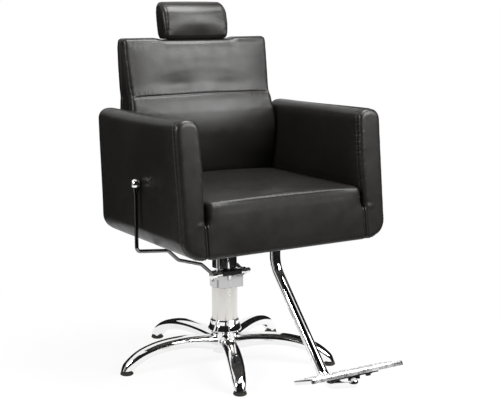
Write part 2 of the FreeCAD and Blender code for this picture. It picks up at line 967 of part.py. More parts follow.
def make_lever():
    shaft = cylinder(
        "shaft_bar",
        S.shaft_radius,
        S.shaft_right_reach + S.shaft_left_reach - S.shaft_nose,
        -S.shaft_right_reach,
        -S.shaft_forward,
        shaft_height,
        "x",
    )
    nose = DOC.addObject("Part::Cone", "shaft_nose_cone")
    bind(nose, Radius1=S.shaft_radius, Radius2=S.shaft_radius - S.shaft_nose, Height=S.shaft_nose)
    place(nose, S.shaft_left_reach - S.shaft_nose, -S.shaft_forward, shaft_height, (0, 1, 0), 90)
    boss = cylinder(
        "shaft_boss",
        S.boss_radius,
        S.boss_length,
        -S.shaft_right_reach - S.boss_length,
        -S.shaft_forward,
        shaft_height,
        "x",
    )
    spots = [rod_start()]
    for reach_share, rise_share in ROD_CRANK_SHARES:
        spots.append(rod_spot(rod_reach * reach_share, rod_low_rise * rise_share))
    spots.append(rod_spot(rod_reach, rod_low_rise))
    spots.append(rod_spot(rod_reach, rod_top_rise))
    crank = float(S.rod_crank_radius)
    path = bent_path(spots, [crank, crank, crank, float(S.rod_bend_radius)])
    bar = swept_round(path, S.rod_radius)
    boss_round = Part.makeCylinder(
        float(S.boss_radius),
        float(S.boss_length),
        point(-S.shaft_right_reach - S.boss_length, -S.shaft_forward, shaft_height),
        FreeCAD.Vector(1, 0, 0),
    )
    keep(feature("lever_rod", bar.cut(boss_round)), "lever_rod")
    keep(join("lever_shaft", [shaft, nose, boss]), "lever_shaft")

    body = new_body("return_arm")
    slope = math.radians(float(S.arm_plate_angle))
    along = (math.cos(slope), math.sin(slope))
    across = (-math.sin(slope), math.cos(slope))
    half = S.arm_plate_depth * 0.5
    corners = []
    reach = S.arm_plate_length
    tip = half * ARM_TIP_SHARE
    for run, side in ((ZERO, -half), (reach, -tip), (reach, tip), (ZERO, half)):
        corners.append((
            -S.shaft_forward + run * along[0] + side * across[0],
            shaft_height + run * along[1] + side * across[1],
        ))
    blade = outline(body, "arm_outline", "YZ_Plane", corners, lift=S.arm_plate_start)
    pad(body, blade, S.arm_plate_thickness)
    eye = circles(body, "arm_eye", "YZ_Plane", [
        (-S.shaft_forward, shaft_height, S.shaft_radius + S.arm_plate_depth * ARM_EYE_SHARE),
    ], lift=S.arm_plate_start)
    pad(body, eye, S.arm_plate_thickness)
    hole = circles(body, "arm_hole", "YZ_Plane", [
        (-S.shaft_forward, shaft_height, S.shaft_radius),
    ], lift=S.arm_plate_start)
    pocket(body, hole, S.arm_plate_thickness, backwards=True)
    keep(body, "return_arm")

    top = rod_spot(rod_reach, rod_top_rise)
    ferrule = turned("knob_ferrule", [
        (ZERO, ZERO),
        (S.rod_radius, ZERO),
        (S.ferrule_foot_radius, ZERO),
        (S.ferrule_top_radius, S.ferrule_length),
        (ZERO, S.ferrule_length),
    ])
    ferrule.Placement = FreeCAD.Placement(top, FreeCAD.Rotation())
    keep(ferrule, "knob_ferrule")
    drop = math.sqrt(float(S.knob_radius) ** 2 - float(S.ferrule_top_radius) ** 2)
    centre = top + FreeCAD.Vector(0, 0, float(S.ferrule_length) + drop)
    ball = Part.makeSphere(float(S.knob_radius), centre)
    radius = float(S.knob_radius)
    foot = top + FreeCAD.Vector(0, 0, float(S.ferrule_length) - radius)
    keep(feature("lever_knob", ball.cut(Part.makeCylinder(radius, radius, foot))), "lever_knob")


# Seat carrier


def make_ram():
    keep(turned("ram", [
        (ZERO, piston_base),
        (S.ram_radius, piston_base),
        (S.ram_radius, plate_base),
        (ZERO, plate_base),
    ]), "ram")
    bore = S.cylinder_radius - S.cylinder_wall
    ring = tube_profile(S.ram_radius, bore - S.running_gap, piston_base, piston_base + S.piston_height)
    keep(turned("ram_piston", ring), "ram_piston")


def make_neck_sleeve():
    inner = S.neck_radius - S.neck_wall
    keep(turned("neck_sleeve", tube_profile(inner, S.neck_radius, neck_base, plate_base)), "neck_sleeve")


def make_mounting_plate():
    body = new_body("mounting_plate")
    wide = S.plate_half_width
    deep = S.plate_half_depth
    shape = outline(body, "plate_outline", "XY_Plane", [
        (-wide, -deep), (wide, -deep), (wide, deep), (-wide, deep)
    ], lift=plate_base)
    pad(body, shape, S.underside_padding)
    round_edges(body, S.plate_corner_radius, is_upright)
    keep(body, "mounting_plate")


def make_seat_board():
    body = new_body("seat_board")
    wide = board_half_width
    shape = outline(body, "board_outline", "XY_Plane", [
        (-wide, -board_front), (wide, -board_front), (wide, S.board_back), (-wide, S.board_back)
    ], lift=board_base)
    pad(body, shape, S.board_thickness)
    round_edges(body, S.board_corner_radius, is_upright)
    hole = circles(body, "socket_hole", "XY_Plane", [
        (ZERO, -S.foot_tube_start, S.foot_tube_radius + S.socket_wall + S.hole_clearance)
    ], lift=board_base)
    pocket(body, hole, S.board_thickness, backwards=True)
    keep(body, "seat_board")


# Upholstered body


def body_front_slope():
    """How far the front face leans back, per unit of height."""
    return float(S.body_front_lean) / float(arm_top_level - S.seat_bottom_height)


def arm_section(side, foot, slope, inset):
    """The arm's section across its length: rounded top, straight sides, rounded outer bottom corner."""
    low = float(S.seat_bottom_height)
    bottom = low + inset
    top = float(arm_top_level) - inset
    inner_low = float(S.seam_half_width) + inset
    inner_top = float(S.arm_top_inner) + inset
    outer_low = float(S.arm_low_outer) - inset
    outer_top = float(S.arm_top_outer) - inset
    corner = float(S.arm_corner_radius) - inset
    crest = (outer_top - inner_top) / 2
    shoulder = top - crest
    notch = float(notch_level)
    lean = math.sqrt(0.5)

    def at(x, z):
        return FreeCAD.Vector(side * x, foot + (z - low) * slope, z)

    middle = (inner_top + outer_top) / 2
    bow = corner * lean
    moves = [
        (at(outer_low - corner, bottom),),
        (at(outer_low - corner + bow, bottom + corner - bow), at(outer_low, bottom + corner)),
        (at(outer_top, shoulder),),
        (at(middle + crest * lean, shoulder + crest * lean), at(middle, top)),
        (at(middle - crest * lean, shoulder + crest * lean), at(inner_top, shoulder)),
        (at(inner_low, notch),),
    ]
    return closed_wire(at(inner_low, bottom), moves)


# Where along the arm each section lies, as a share of its length, and how far it is drawn in, as a share of
# the corner radius.
ARM_STATION_SHARES = (
    (0.0, 0.2),
    (0.006, 0.09),
    (0.02, 0.025),
    (0.045, 0.0),
    (0.5, 0.0),
    (0.95, 0.0),
    (0.98, 0.02),
    (0.993, 0.07),
    (1.0, 0.15),
)


def arm_form(side):
    length = float(S.body_front + S.body_back)
    sections = []
    for along, drawn in ARM_STATION_SHARES:
        foot = -float(S.body_front) + length * along
        slope = body_front_slope() * (1 - along)
        sections.append(arm_section(side, foot, slope, float(S.arm_corner_radius) * drawn))
    return strip_loft(sections)


def frame_outline(grow):
    """The arm frame's corners in Y and Z, from the bottom front round to the bottom back."""
    low = board_base + S.frame_foot_rise
    high = arm_top_level - S.frame_top_cover
    front = S.body_front - S.frame_front_cover
    lean = (high - S.seat_bottom_height) * body_front_slope()
    back = S.body_back - S.frame_back_cover
    return [
        (-front - grow, low - grow),
        (back + grow, low - grow),
        (back + grow, high + grow),
        (-front + lean - grow, high + grow),
    ]


def arm_cavity(side):
    """The room inside an arm's foam for its frame and for the seat board's end."""
    gap = float(S.soft_gap)
    corners = [point(0, across, up) for across, up in frame_outline(as_size(0) + S.soft_gap)]
    inner = float(board_half_width) - gap
    outer = float(board_half_width + S.frame_thickness) + gap
    face = Part.Face(Part.makePolygon(corners + corners[:1]))
    frame_room = face.extrude(FreeCAD.Vector(outer - inner, 0, 0))
    frame_room.translate(FreeCAD.Vector(inner, 0, 0))
    seam = float(S.seam_half_width) - gap
    board_room = Part.makeBox(
        inner - seam + 2 * gap,
        float(board_front + S.board_back) + 2 * gap,
        float(S.board_thickness) + 2 * gap,
        point(as_size(seam), -board_front - S.soft_gap, board_base - S.soft_gap),
    )
    both = frame_room.fuse(board_room)
    if side < 0:
        both = both.mirror(FreeCAD.Vector(0, 0, 0), FreeCAD.Vector(1, 0, 0))
    return both


def make_arms():
    for side, name in ((1, "left"), (-1, "right")):
        keep(feature(f"arm_pad_{name}", arm_form(side).cut(arm_cavity(side))), f"arm_pad_{name}")
        body = new_body(f"arm_frame_{name}")
        start = board_half_width if side > 0 else -board_half_width - S.frame_thickness
        panel = outline(body, f"frame_outline_{name}", "YZ_Plane", frame_outline(ZERO), lift=start)
        pad(body, panel, S.frame_thickness)
        high = float(arm_top_level - S.frame_top_cover - S.soft_gap)
        thick = float(S.frame_thickness - S.soft_gap)

        def is_top_corner(edge, high=high, thick=thick):
            ends = [spot.Point for spot in edge.Vertexes]
            if len(ends) != 2 or abs(ends[0].x - ends[1].x) < thick:
                return False
            return min(ends[0].z, ends[1].z) > high

        round_edges(body, S.frame_corner_radius, is_top_corner)
        keep(body, f"arm_frame_{name}")


def cushion_section(foot, slope, inset):
    """The seat cushion's section across: sewn to the arms below the notch, free and crowned above it."""
    low = float(S.seat_bottom_height)
    bottom = low + inset
    seam = float(S.seam_half_width) - float(S.soft_gap) - inset * SEAM_INSET_SHARE
    free = float(S.cushion_half_width) - inset
    top = float(seat_top_level) - inset
    crown = float(S.seat_crown) + top
    edge = float(S.cushion_edge_radius)
    notch = float(notch_level)
    rise = float(S.notch_rise)
    lean = math.sqrt(0.5)

    def at(x, z):
        return FreeCAD.Vector(x, foot + (z - low) * slope, z)

    moves = [
        (at(seam, bottom),),
        (at(seam, notch - rise),),
        (at(free, notch + rise),),
        (at(free, top - edge),),
        (at(free - edge + edge * lean, top - edge + edge * lean), at(free - edge, top)),
        (at(0, crown), at(-free + edge, top)),
        (at(-free + edge - edge * lean, top - edge + edge * lean), at(-free, top - edge)),
        (at(-free, notch + rise),),
        (at(-seam, notch - rise),),
    ]
    return closed_wire(at(-seam, bottom), moves)


SEAM_INSET_SHARE = 0.3

CUSHION_STATION_SHARES = (
    (0.0, 0.55),
    (0.006, 0.24),
    (0.02, 0.06),
    (0.05, 0.0),
    (0.5, 0.0),
    (0.95, 0.0),
    (0.985, 0.12),
    (1.0, 0.45),
)


def make_seat_cushion():
    length = float(S.body_front + S.cushion_back)
    sections = []
    for along, drawn in CUSHION_STATION_SHARES:
        foot = -float(S.body_front) + length * along
        slope = body_front_slope() * CUSHION_SLOPE_SHARE * (1 - along)
        sections.append(cushion_section(foot, slope, float(S.cushion_edge_radius) * drawn))
    form = strip_loft(sections)
    room = Part.makeBox(
        float(board_half_width) * 2,
        float(board_front + S.body_back) + float(S.soft_gap),
        float(board_top - S.seat_bottom_height) + float(S.soft_gap) * 2,
        point(-board_half_width, -board_front - S.soft_gap, S.seat_bottom_height - S.soft_gap),
    )
    keep(feature("seat_cushion", form.cut(room)), "seat_cushion")


CUSHION_SLOPE_SHARE = 1.15


# Footrest


def foot_spots():
    top = point(0, -S.foot_tube_start, S.seat_bottom_height + S.foot_tube_rise)
    knee = point(0, -S.foot_tube_start, knee_level)
    heel = point(0, -S.foot_heel_y, S.foot_heel_height)
    run = float(S.foot_toe_y - S.foot_heel_y)
    tilt = math.radians(float(S.foot_tilt_angle))
    toe = heel + FreeCAD.Vector(0, -run, run * math.tan(tilt))
    return [top, knee, heel, toe]


def toe_placement():
    """A frame at the tube's toe: +Y runs back along the tube, +Z is square to the foot plate."""
    turn = FreeCAD.Rotation(FreeCAD.Vector(1, 0, 0), -float(S.foot_tilt_angle))
    return FreeCAD.Placement(foot_spots()[-1], turn)


def make_footrest_tube():
    path = bent_path(foot_spots(), [float(S.foot_knee_radius), float(S.foot_heel_radius)])
    outer = swept_round(path, S.foot_tube_radius)
    inner = swept_round(path, S.foot_tube_radius - S.foot_tube_wall)
    keep(feature("footrest_tube", outer.cut(inner)), "footrest_tube")


def make_end_cap():
    """Domed cap: a half ball on the tube's end, with a spigot inside it."""
    ball = Part.makeSphere(float(S.foot_tube_radius))
    back_half = Part.makeBox(
        float(S.foot_tube_radius) * 2,
        float(S.foot_tube_radius),
        float(S.foot_tube_radius) * 2,
        point(-S.foot_tube_radius, ZERO, -S.foot_tube_radius),
    )
    spigot = Part.makeCylinder(
        float(S.foot_tube_radius - S.foot_tube_wall),
        float(S.cap_spigot),
        FreeCAD.Vector(0, 0, 0),
        FreeCAD.Vector(0, 1, 0),
    )
    cap = ball.cut(back_half).fuse(spigot)
    thing = feature("footrest_end_cap", cap)
    thing.Placement = toe_placement()
    keep(thing, "footrest_end_cap")


def make_footrest_socket():
    """Flange under the seat board with a sleeve that holds the tube's top."""
    outer = S.foot_tube_radius + S.socket_wall
    inner = S.foot_tube_radius
    low = board_base - S.socket_drop
    body = new_body("footrest_socket")
    wide = S.socket_half_width
    flange = outline(body, "flange_outline", "XY_Plane", [
        (-wide, -S.foot_tube_start - wide * FLANGE_SHARE),
        (wide, -S.foot_tube_start - wide * FLANGE_SHARE),
        (wide, -S.foot_tube_start + wide * FLANGE_SHARE),
        (-wide, -S.foot_tube_start + wide * FLANGE_SHARE),
    ], lift=plate_base)
    pad(body, flange, S.underside_padding)
    round_edges(body, S.plate_corner_radius * FLANGE_CORNER_SHARE, is_upright)
    sleeve = circles(body, "sleeve_outline", "XY_Plane", [(ZERO, -S.foot_tube_start, outer)], lift=low)
    pad(body, sleeve, board_top - low)
    bore = circles(body, "sleeve_bore", "XY_Plane", [(ZERO, -S.foot_tube_start, inner)], lift=low)
    pocket(body, bore, board_top - low, backwards=True)
    keep(body, "footrest_socket")


def make_crossbar():
    """Flat bar across the tube's toe, with a saddle that fits the tube's back."""
    top = S.foot_tube_radius + S.crossbar_thickness
    deep = S.crossbar_depth
    bar = Part.makeBox(
        float(S.crossbar_half_width) * 2,
        float(deep),
        float(S.crossbar_thickness),
        point(-S.crossbar_half_width, -S.crossbar_forward, S.foot_tube_radius),
    )
    saddle = Part.makeBox(
        float(S.saddle_half_width) * 2,
        float(deep),
        float(S.saddle_drop),
        point(-S.saddle_half_width, -S.crossbar_forward, S.foot_tube_radius - S.saddle_drop),
    )
    tube = Part.makeCylinder(
        float(S.foot_tube_radius),
        float(deep) * 3,
        point(ZERO, -deep, ZERO),
        FreeCAD.Vector(0, 1, 0),
    )
    ends = []
    for edge in bar.Edges:
        run = edge.Vertexes[1].Point - edge.Vertexes[0].Point
        if abs(run.z) > float(S.crossbar_thickness) * 0.5:
            ends.append(edge)
    bar = bar.makeFillet(float(S.crossbar_thickness), ends)
    solid = bar.fuse(saddle).cut(tube)
    thing = feature("footrest_crossbar", solid)
    thing.Placement = toe_placement()
    keep(thing, "footrest_crossbar")


def plate_levels():
    """Underside and top of the foot plate, above the tube's axis."""
    low = S.foot_tube_radius + S.crossbar_thickness
    return low, low + S.foot_plate_thickness


def make_foot_plate():
    """Shallow chromed tray turned over: a skin with a rim, ribs below and a recess for the ribbed sheet."""
    low, high = plate_levels()
    wide = S.foot_plate_half_width
    front = -S.foot_plate_forward
    back = S.foot_plate_depth - S.foot_plate_forward
    body = new_body("foot_plate")
    block = outline(body, "tread_outline", "XY_Plane", [
        (-wide, front), (wide, front), (wide, back), (-wide, back)
    ], lift=low)
    pad(body, block, S.foot_plate_thickness)
    round_edges(body, S.foot_plate_corner, is_upright)
    top = float(high)

    def on_top(edge):
        return abs(edge.CenterOfMass.z - top) < float(S.foot_plate_edge) * PICK_SHARE

    round_edges(body, S.foot_plate_edge, on_top, "PartDesign::Chamfer")
    wall = S.foot_plate_wall
    hollow = outline(body, "tread_hollow", "XY_Plane", [
        (-wide + wall * 2, front + wall * 2),
        (wide - wall * 2, front + wall * 2),
        (wide - wall * 2, back - wall * 2),
        (-wide + wall * 2, back - wall * 2),
    ], lift=low)
    pocket(body, hollow, S.foot_plate_thickness - S.foot_plate_skin, backwards=True)
    half = S.crossbar_depth * 0.5
    middle = -S.crossbar_forward + half
    for number, across in enumerate((-S.tread_rib_x, ZERO, S.tread_rib_x)):
        rib = outline(body, f"tread_rib_{number}", "XY_Plane", [
            (across - half * RIB_SHARE, front + wall),
            (across + half * RIB_SHARE, front + wall),
            (across + half * RIB_SHARE, back - wall),
            (across - half * RIB_SHARE, back - wall),
        ], lift=low)
        pad(body, rib, S.foot_plate_thickness - S.foot_plate_skin * 0.5)
    border = S.sheet_border
    recess = outline(body, "sheet_recess", "XY_Plane", [
        (-wide + border, front + border),
        (wide - border, front + border),
        (wide - border, back - border),
        (-wide + border, back - border),
    ], lift=high)
    pocket(body, recess, S.sheet_recess)
    body.Placement = toe_placement()
    keep(body, "foot_plate")

    gap = S.soft_gap
    sheet_low = high - S.sheet_recess
    sheet = new_body("tread_sheet")
    flat = outline(sheet, "sheet_outline", "XY_Plane", [
        (-wide + border + gap, front + border + gap),
        (wide - border - gap, front + border + gap),
        (wide - border - gap, back - border - gap),
        (-wide + border + gap, back - border - gap),
    ], lift=sheet_low)
    pad(sheet, flat, S.sheet_thickness)
    pitch = (S.foot_plate_depth - border * 2) / SHEET_RIBS
    first = front + border + pitch * 0.5
    rib = outline(sheet, "sheet_rib", "XY_Plane", [
        (-wide + border * 2, first - S.sheet_rib_width * 0.5),
        (wide - border * 2, first - S.sheet_rib_width * 0.5),
        (wide - border * 2, first + S.sheet_rib_width * 0.5),
        (-wide + border * 2, first + S.sheet_rib_width * 0.5),
    ], lift=sheet_low)
    one = pad(sheet, rib, S.sheet_thickness + S.sheet_rib_height)
    pattern = sheet.newObject("PartDesign::LinearPattern", "sheet_ribs")
    pattern.Originals = [one]
    pattern.Direction = (origin_feature(sheet, "Y_Axis"), [""])
    bind(pattern, Length=pitch * (SHEET_RIBS - 1))
    pattern.Occurrences = SHEET_RIBS
    sheet.Tip = pattern
    sheet.Placement = toe_placement()
    keep(sheet, "tread_sheet")


# Recline hinge, crank and gas spring


def make_seat_hinges():
    """Plates below the seat board that rise behind it to the recline pivot, each with a bolted foot."""
    drop = board_base - S.hinge_drop
    front = S.board_back + S.hinge_front_gap
    for side, name in ((1, "left"), (-1, "right")):
        start = S.hinge_x if side > 0 else -S.hinge_x - S.hinge_plate
        body = new_body(f"seat_hinge_{name}")
        plate = outline(body, f"hinge_outline_{name}", "YZ_Plane", [
            (S.hinge_foot_start, board_base),
            (S.hinge_foot_start, drop + S.hinge_drop * HINGE_FOOT_SHARE),
            (S.hinge_foot_start + S.hinge_drop, drop),
            (S.pivot_y - S.hinge_boss_radius, drop),
            (
                S.hinge_reach - S.hinge_boss_radius * HINGE_FLAT_SHARE,
                board_base + S.hinge_drop * HINGE_TOP_SHARE,
            ),
            (S.pivot_y + S.hinge_boss_radius, pivot_level),
            (S.pivot_y - S.hinge_boss_radius, pivot_level),
            (front, board_top),
            (front, board_base),
        ], lift=start)
        pad(body, plate, S.hinge_plate)
        boss = circles(body, f"hinge_boss_{name}", "YZ_Plane", [
            (S.pivot_y, pivot_level, S.hinge_boss_radius)
        ], lift=start)
        pad(body, boss, S.hinge_plate)
        inner = S.hinge_x * side
        outer = (S.hinge_x + S.hinge_plate + S.hinge_foot_width) * side
        foot = outline(body, f"hinge_foot_{name}", "XY_Plane", [
            (inner, S.hinge_foot_start),
            (outer, S.hinge_foot_start),
            (outer, S.hinge_foot_start + S.hinge_foot_length),
            (inner, S.hinge_foot_start + S.hinge_foot_length),
        ], lift=plate_base)
        pad(body, foot, S.underside_padding)
        bore = circles(body, f"hinge_bore_{name}", "YZ_Plane", [
            (S.pivot_y, pivot_level, S.hinge_pin_radius)
        ], lift=start)
        pocket(body, bore, S.hinge_plate, backwards=True)
        keep(body, f"seat_hinge_{name}")


def make_hinge_pins():
    """Two pins fixed in the seat's plates, with a head outside."""
    pins = []
    reach = S.hinge_x - S.hinge_gap - S.hinge_plate - S.hinge_gap
    for side in (-1, 1):
        start = point(reach * side, S.pivot_y, pivot_level)
        out = FreeCAD.Vector(side, 0, 0)
        shank = Part.makeCylinder(
            float(S.hinge_pin_radius), float(S.hinge_x + S.hinge_plate - reach), start, out
        )
        head = Part.makeCylinder(
            float(S.pin_head_radius),
            float(S.pin_head_height),
            point((S.hinge_x + S.hinge_plate) * side, S.pivot_y, pivot_level),
            out,
        )
        pins.append(shank.fuse(head))
    keep(feature("hinge_pins", Part.makeCompound(pins)), "hinge_pins")


def leaf_front():
    """The back face of the back board, where the leaves are bolted."""
    return S.back_board_front + S.back_board_thickness


def make_back_hinges():
    """Leaves bolted to the back board, with a web that comes down to the pivot."""
    low = back_low_level + S.back_board_cover * 0.5
    front = leaf_front()
    for side, name in ((1, "left"), (-1, "right")):
        web_inner = S.hinge_x - S.hinge_gap - S.hinge_plate
        start = web_inner if side > 0 else -web_inner - S.hinge_plate
        body = new_body(f"back_hinge_{name}")
        web = outline(body, f"web_outline_{name}", "YZ_Plane", [
            (front, back_low_level - S.hinge_gap * 2),
            (front, low + S.leaf_height),
            (front + S.leaf_web_depth * WEB_TOP_SHARE, low + S.leaf_height),
            (front + S.leaf_web_depth, low + S.leaf_height * WEB_CORNER_SHARE),
            (front + S.leaf_web_depth, low),
            (S.pivot_y + S.hinge_boss_radius, pivot_level),
            (S.pivot_y - S.hinge_boss_radius, pivot_level),
        ], lift=start)
        pad(body, web, S.hinge_plate)
        boss = circles(body, f"web_boss_{name}", "YZ_Plane", [
            (S.pivot_y, pivot_level, S.hinge_boss_radius)
        ], lift=start)
        pad(body, boss, S.hinge_plate)
        leaf_inner = (web_inner - S.leaf_width + S.hinge_plate) * side
        leaf_outer = (web_inner + S.hinge_plate) * side
        leaf_top = low + S.leaf_height
        leaf = outline(body, f"leaf_outline_{name}", "XZ_Plane", [
            (leaf_inner, low),
            (leaf_outer, low),
            (leaf_outer, leaf_top),
            (leaf_inner, leaf_top),
        ], lift=-front)
        pad(body, leaf, S.leaf_thickness, backwards=True)
        bore = circles(body, f"web_bore_{name}", "YZ_Plane", [
            (S.pivot_y, pivot_level, S.hinge_pin_radius + S.running_gap)
        ], lift=start)
        pocket(body, bore, S.hinge_plate, backwards=True)
        keep(body, f"back_hinge_{name}")


def crank_start():
    """The side face of the crank that meets the gas spring's eye."""
    return S.spring_x - S.eye_thickness * 0.5 - S.hinge_gap * 2 - S.hinge_plate


def crank_pin_spot():
    """The crank's pin at rest, behind and below the pivot."""
    turn = math.radians(float(S.crank_rest_angle))
    return S.pivot_y + S.crank_length * math.sin(turn), pivot_level - S.crank_length * math.cos(turn)


def spring_height():
    """The gas spring's axis: midway between the crank pin's lowest and highest place."""
    turn = math.radians(float(S.crank_rest_angle))
    return pivot_level - S.crank_length * ((1 + math.cos(turn)) / 2)


def make_back_crank():
    """Crank on the back board that pushes the gas spring, with its pin."""
    low = back_low_level + S.back_board_cover * 0.5
    front = leaf_front()
    start = crank_start()
    pin_y, pin_z = crank_pin_spot()
    half = S.crank_half_width
    body = new_body("back_crank")
    web = outline(body, "crank_outline", "YZ_Plane", [
        (front, back_low_level - S.hinge_gap * 2),
        (front, low + S.leaf_height),
        (front + S.leaf_web_depth * WEB_TOP_SHARE, low + S.leaf_height),
        (front + S.leaf_web_depth, low + S.leaf_height * WEB_CORNER_SHARE),
        (front + S.leaf_web_depth, back_low_level - S.hinge_gap * 2),
        (front + S.leaf_web_depth + half * CRANK_KNEE_SHARE, pivot_level),
        (pin_y + half, pin_z),
        (pin_y - half, pin_z),
        (front - half * CRANK_HEEL_SHARE, pivot_level),
    ], lift=start)
    pad(body, web, S.hinge_plate)
    eye = circles(body, "crank_eye", "YZ_Plane", [(pin_y, pin_z, half)], lift=start)
    pad(body, eye, S.hinge_plate)
    pin = circles(body, "crank_pin", "YZ_Plane", [(pin_y, pin_z, S.crank_pin_radius)], lift=start)
    pad(body, pin, S.hinge_plate + S.hinge_gap * 3 + S.eye_thickness)
    leaf_inner = start + S.hinge_plate - S.leaf_width
    leaf = outline(body, "crank_leaf", "XZ_Plane", [
        (leaf_inner, low),
        (start + S.hinge_plate, low),
        (start + S.hinge_plate, low + S.leaf_height),
        (leaf_inner, low + S.leaf_height),
    ], lift=-front)
    pad(body, leaf, S.leaf_thickness, backwards=True)
    keep(body, "back_crank")


def make_gas_spring():
    height = spring_height()
    start = -S.spring_start
    end = start + S.spring_length
    pin_y, pin_z = crank_pin_spot()
    barrel = cylinder("spring_barrel", S.spring_radius, S.spring_length, S.spring_x, start, height, "y")
    rod_room = cylinder(
        "rod_room",
        S.spring_rod_radius + S.running_gap,
        S.spring_length,
        S.spring_x,
        start + S.spring_rod_inside * ROD_HIDDEN_SHARE,
        height,
        "y",
    )
    keep(cut("gas_cylinder", barrel, [rod_room]), "gas_cylinder")

    slot_half = S.eye_slot_travel + S.crank_pin_radius
    eye_front = pin_y - S.crank_pin_radius - S.eye_wall
    rod_begin = end - S.spring_rod_inside
    rod = cylinder(
        "spring_rod", S.spring_rod_radius, eye_front - rod_begin, S.spring_x, rod_begin, height, "y"
    )
    eye = new_body("rod_eye")
    face = outline(eye, "eye_outline", "YZ_Plane", [
        (eye_front, height - slot_half - S.eye_wall),
        (pin_y + S.crank_pin_radius + S.eye_wall, height - slot_half - S.eye_wall),
        (pin_y + S.crank_pin_radius + S.eye_wall, height + slot_half + S.eye_wall),
        (eye_front, height + slot_half + S.eye_wall),
    ], lift=S.spring_x - S.eye_thickness * 0.5)
    pad(eye, face, S.eye_thickness)
    side_gap = S.crank_pin_radius + S.hole_clearance
    slot = outline(eye, "eye_slot", "YZ_Plane", [
        (pin_y - side_gap, height - slot_half),
        (pin_y + side_gap, height - slot_half),
        (pin_y + side_gap, height + slot_half),
        (pin_y - side_gap, height + slot_half),
    ], lift=S.spring_x - S.eye_thickness * 0.5)
    pocket(eye, slot, S.eye_thickness, backwards=True)
    keep(join("gas_rod", [rod, eye]), "gas_rod")

    half = S.saddle_block_half_width
    blocks = []
    for number, share in enumerate((0.0, 1.0)):
        first = start + (S.spring_length - S.saddle_block_length) * share
        blocks.append(box(
            f"saddle_blank_{number}",
            (S.spring_x - half, first, height - S.spring_radius * SADDLE_SHARE),
            (S.spring_x + half, first + S.saddle_block_length, board_base),
        ))
    barrel_room = cylinder("barrel_room", S.spring_radius, S.spring_length, S.spring_x, start, height, "y")
    keep(cut("spring_saddles", join("saddle_blanks", blocks), [barrel_room]), "spring_saddles")

    head_front = start - S.release_head_length
    head = box(
        "release_block",
        (S.spring_x - S.release_head_half, head_front, height - S.release_head_half),
        (S.spring_x + S.release_head_half, start, height + S.release_head_half),
    )
    lever_y = head_front + S.release_head_length * 0.5
    seat_hole = cylinder(
        "release_seat",
        S.release_rod_radius + S.running_gap,
        S.release_head_half * 2,
        S.spring_x - S.release_head_half * 0.5,
        lever_y,
        height,
        "x",
    )
    keep(cut("release_head", head, [seat_hole]), "release_head")

    bar = cylinder(
        "release_bar", S.release_rod_radius, S.release_reach - S.spring_x, S.spring_x, lever_y, height, "x"
    )
    paddle = new_body("release_paddle")
    flat = outline(paddle, "paddle_outline", "XY_Plane", [
        (S.release_reach - S.paddle_width, lever_y - S.paddle_length),
        (S.release_reach, lever_y - S.paddle_length),
        (S.release_reach, lever_y),
        (S.release_reach - S.paddle_width, lever_y),
    ], lift=height - S.paddle_thickness * 0.5)
    pad(paddle, flat, S.paddle_thickness)
    keep(join("release_lever", [bar, paddle]), "release_lever")

    block = box(
        "bracket_blank",
        (S.release_block_x, lever_y - S.release_block_depth * 0.5, height - S.release_rod_radius * 2),
        (S.release_block_x + S.release_block_width, lever_y + S.release_block_depth * 0.5, board_base),
    )
    bracket_hole = cylinder(
        "bracket_hole",
        S.release_rod_radius + S.running_gap,
        S.release_block_width * 2,
        S.release_block_x - S.release_block_width * 0.5,
        lever_y,
        height,
        "x",
    )
    keep(cut("release_bracket", block, [bracket_hole]), "release_bracket")


# Backrest


def make_back_board():
    body = new_body("back_board")
    wide = S.back_board_half_width
    low = back_low_level + S.back_board_cover * 0.5
    high = back_top_level - S.back_board_cover
    panel = outline(body, "back_board_outline", "XZ_Plane", [
        (-wide, low), (wide, low), (wide, high), (-wide, high)
    ], lift=-S.back_board_front)
    pad(body, panel, S.back_board_thickness, backwards=True)
    keep(body, "back_board")


def back_section(height, half_width, front, rear, crown, edge):
    """A level section of a back cushion: flat behind, square sides, rounded front corners, crowned front."""
    lean = math.sqrt(0.5)

    def at(x, y):
        return FreeCAD.Vector(x, y, height)

    moves = [
        (at(half_width, rear),),
        (at(half_width, front + edge),),
        (at(half_width - edge + edge * lean, front + edge - edge * lean), at(half_width - edge, front)),
        (at(0, front - crown), at(-half_width + edge, front)),
        (at(-half_width + edge - edge * lean, front + edge - edge * lean), at(-half_width, front + edge)),
    ]
    return closed_wire(at(-half_width, rear), moves)


# Height as a share between the cushion's ends, half width drawn in as a share of the edge radius, the front
# face's distance before the board as a share of its thickness, and crown share.
LOWER_STATION_SHARES = (
    (0.0, 0.6, 1.15, 0.2),
    (0.025, 0.15, 1.7, 0.5),
    (0.095, 0.0, 2.1, 0.8),
    (0.32, 0.3, 3.35, 1.0),
    (0.58, 1.0, 4.2, 1.0),
    (0.82, 1.85, 4.2, 0.9),
    (0.93, 2.1, 3.75, 0.8),
    (0.985, 2.2, 3.3, 0.7),
    (1.0, 2.25, 3.0, 0.6),
)
UPPER_STATION_SHARES = (
    (0.0, 0.65, 2.85, 0.6),
    (0.025, 0.6, 3.0, 0.7),
    (0.2, 0.45, 2.5, 0.9),
    (0.68, 0.1, 1.55, 1.0),
    (0.9, 0.05, 1.1, 0.8),
    (0.975, 0.1, 0.85, 0.5),
    (1.0, 0.6, 0.3, 0.2),
)


def back_form(low, high, wide, stations):
    sections = []
    unit = float(S.back_board_thickness)
    rear = float(leaf_front())
    edge = float(S.back_edge_radius)
    for height_share, drawn, front_share, crown_share in stations:
        height = low + (high - low) * height_share
        half = wide - edge * drawn
        front = float(S.back_board_front) - unit * front_share
        sections.append(back_section(height, half, front, rear, float(S.back_crown) * crown_share, edge))
    return strip_loft(sections)


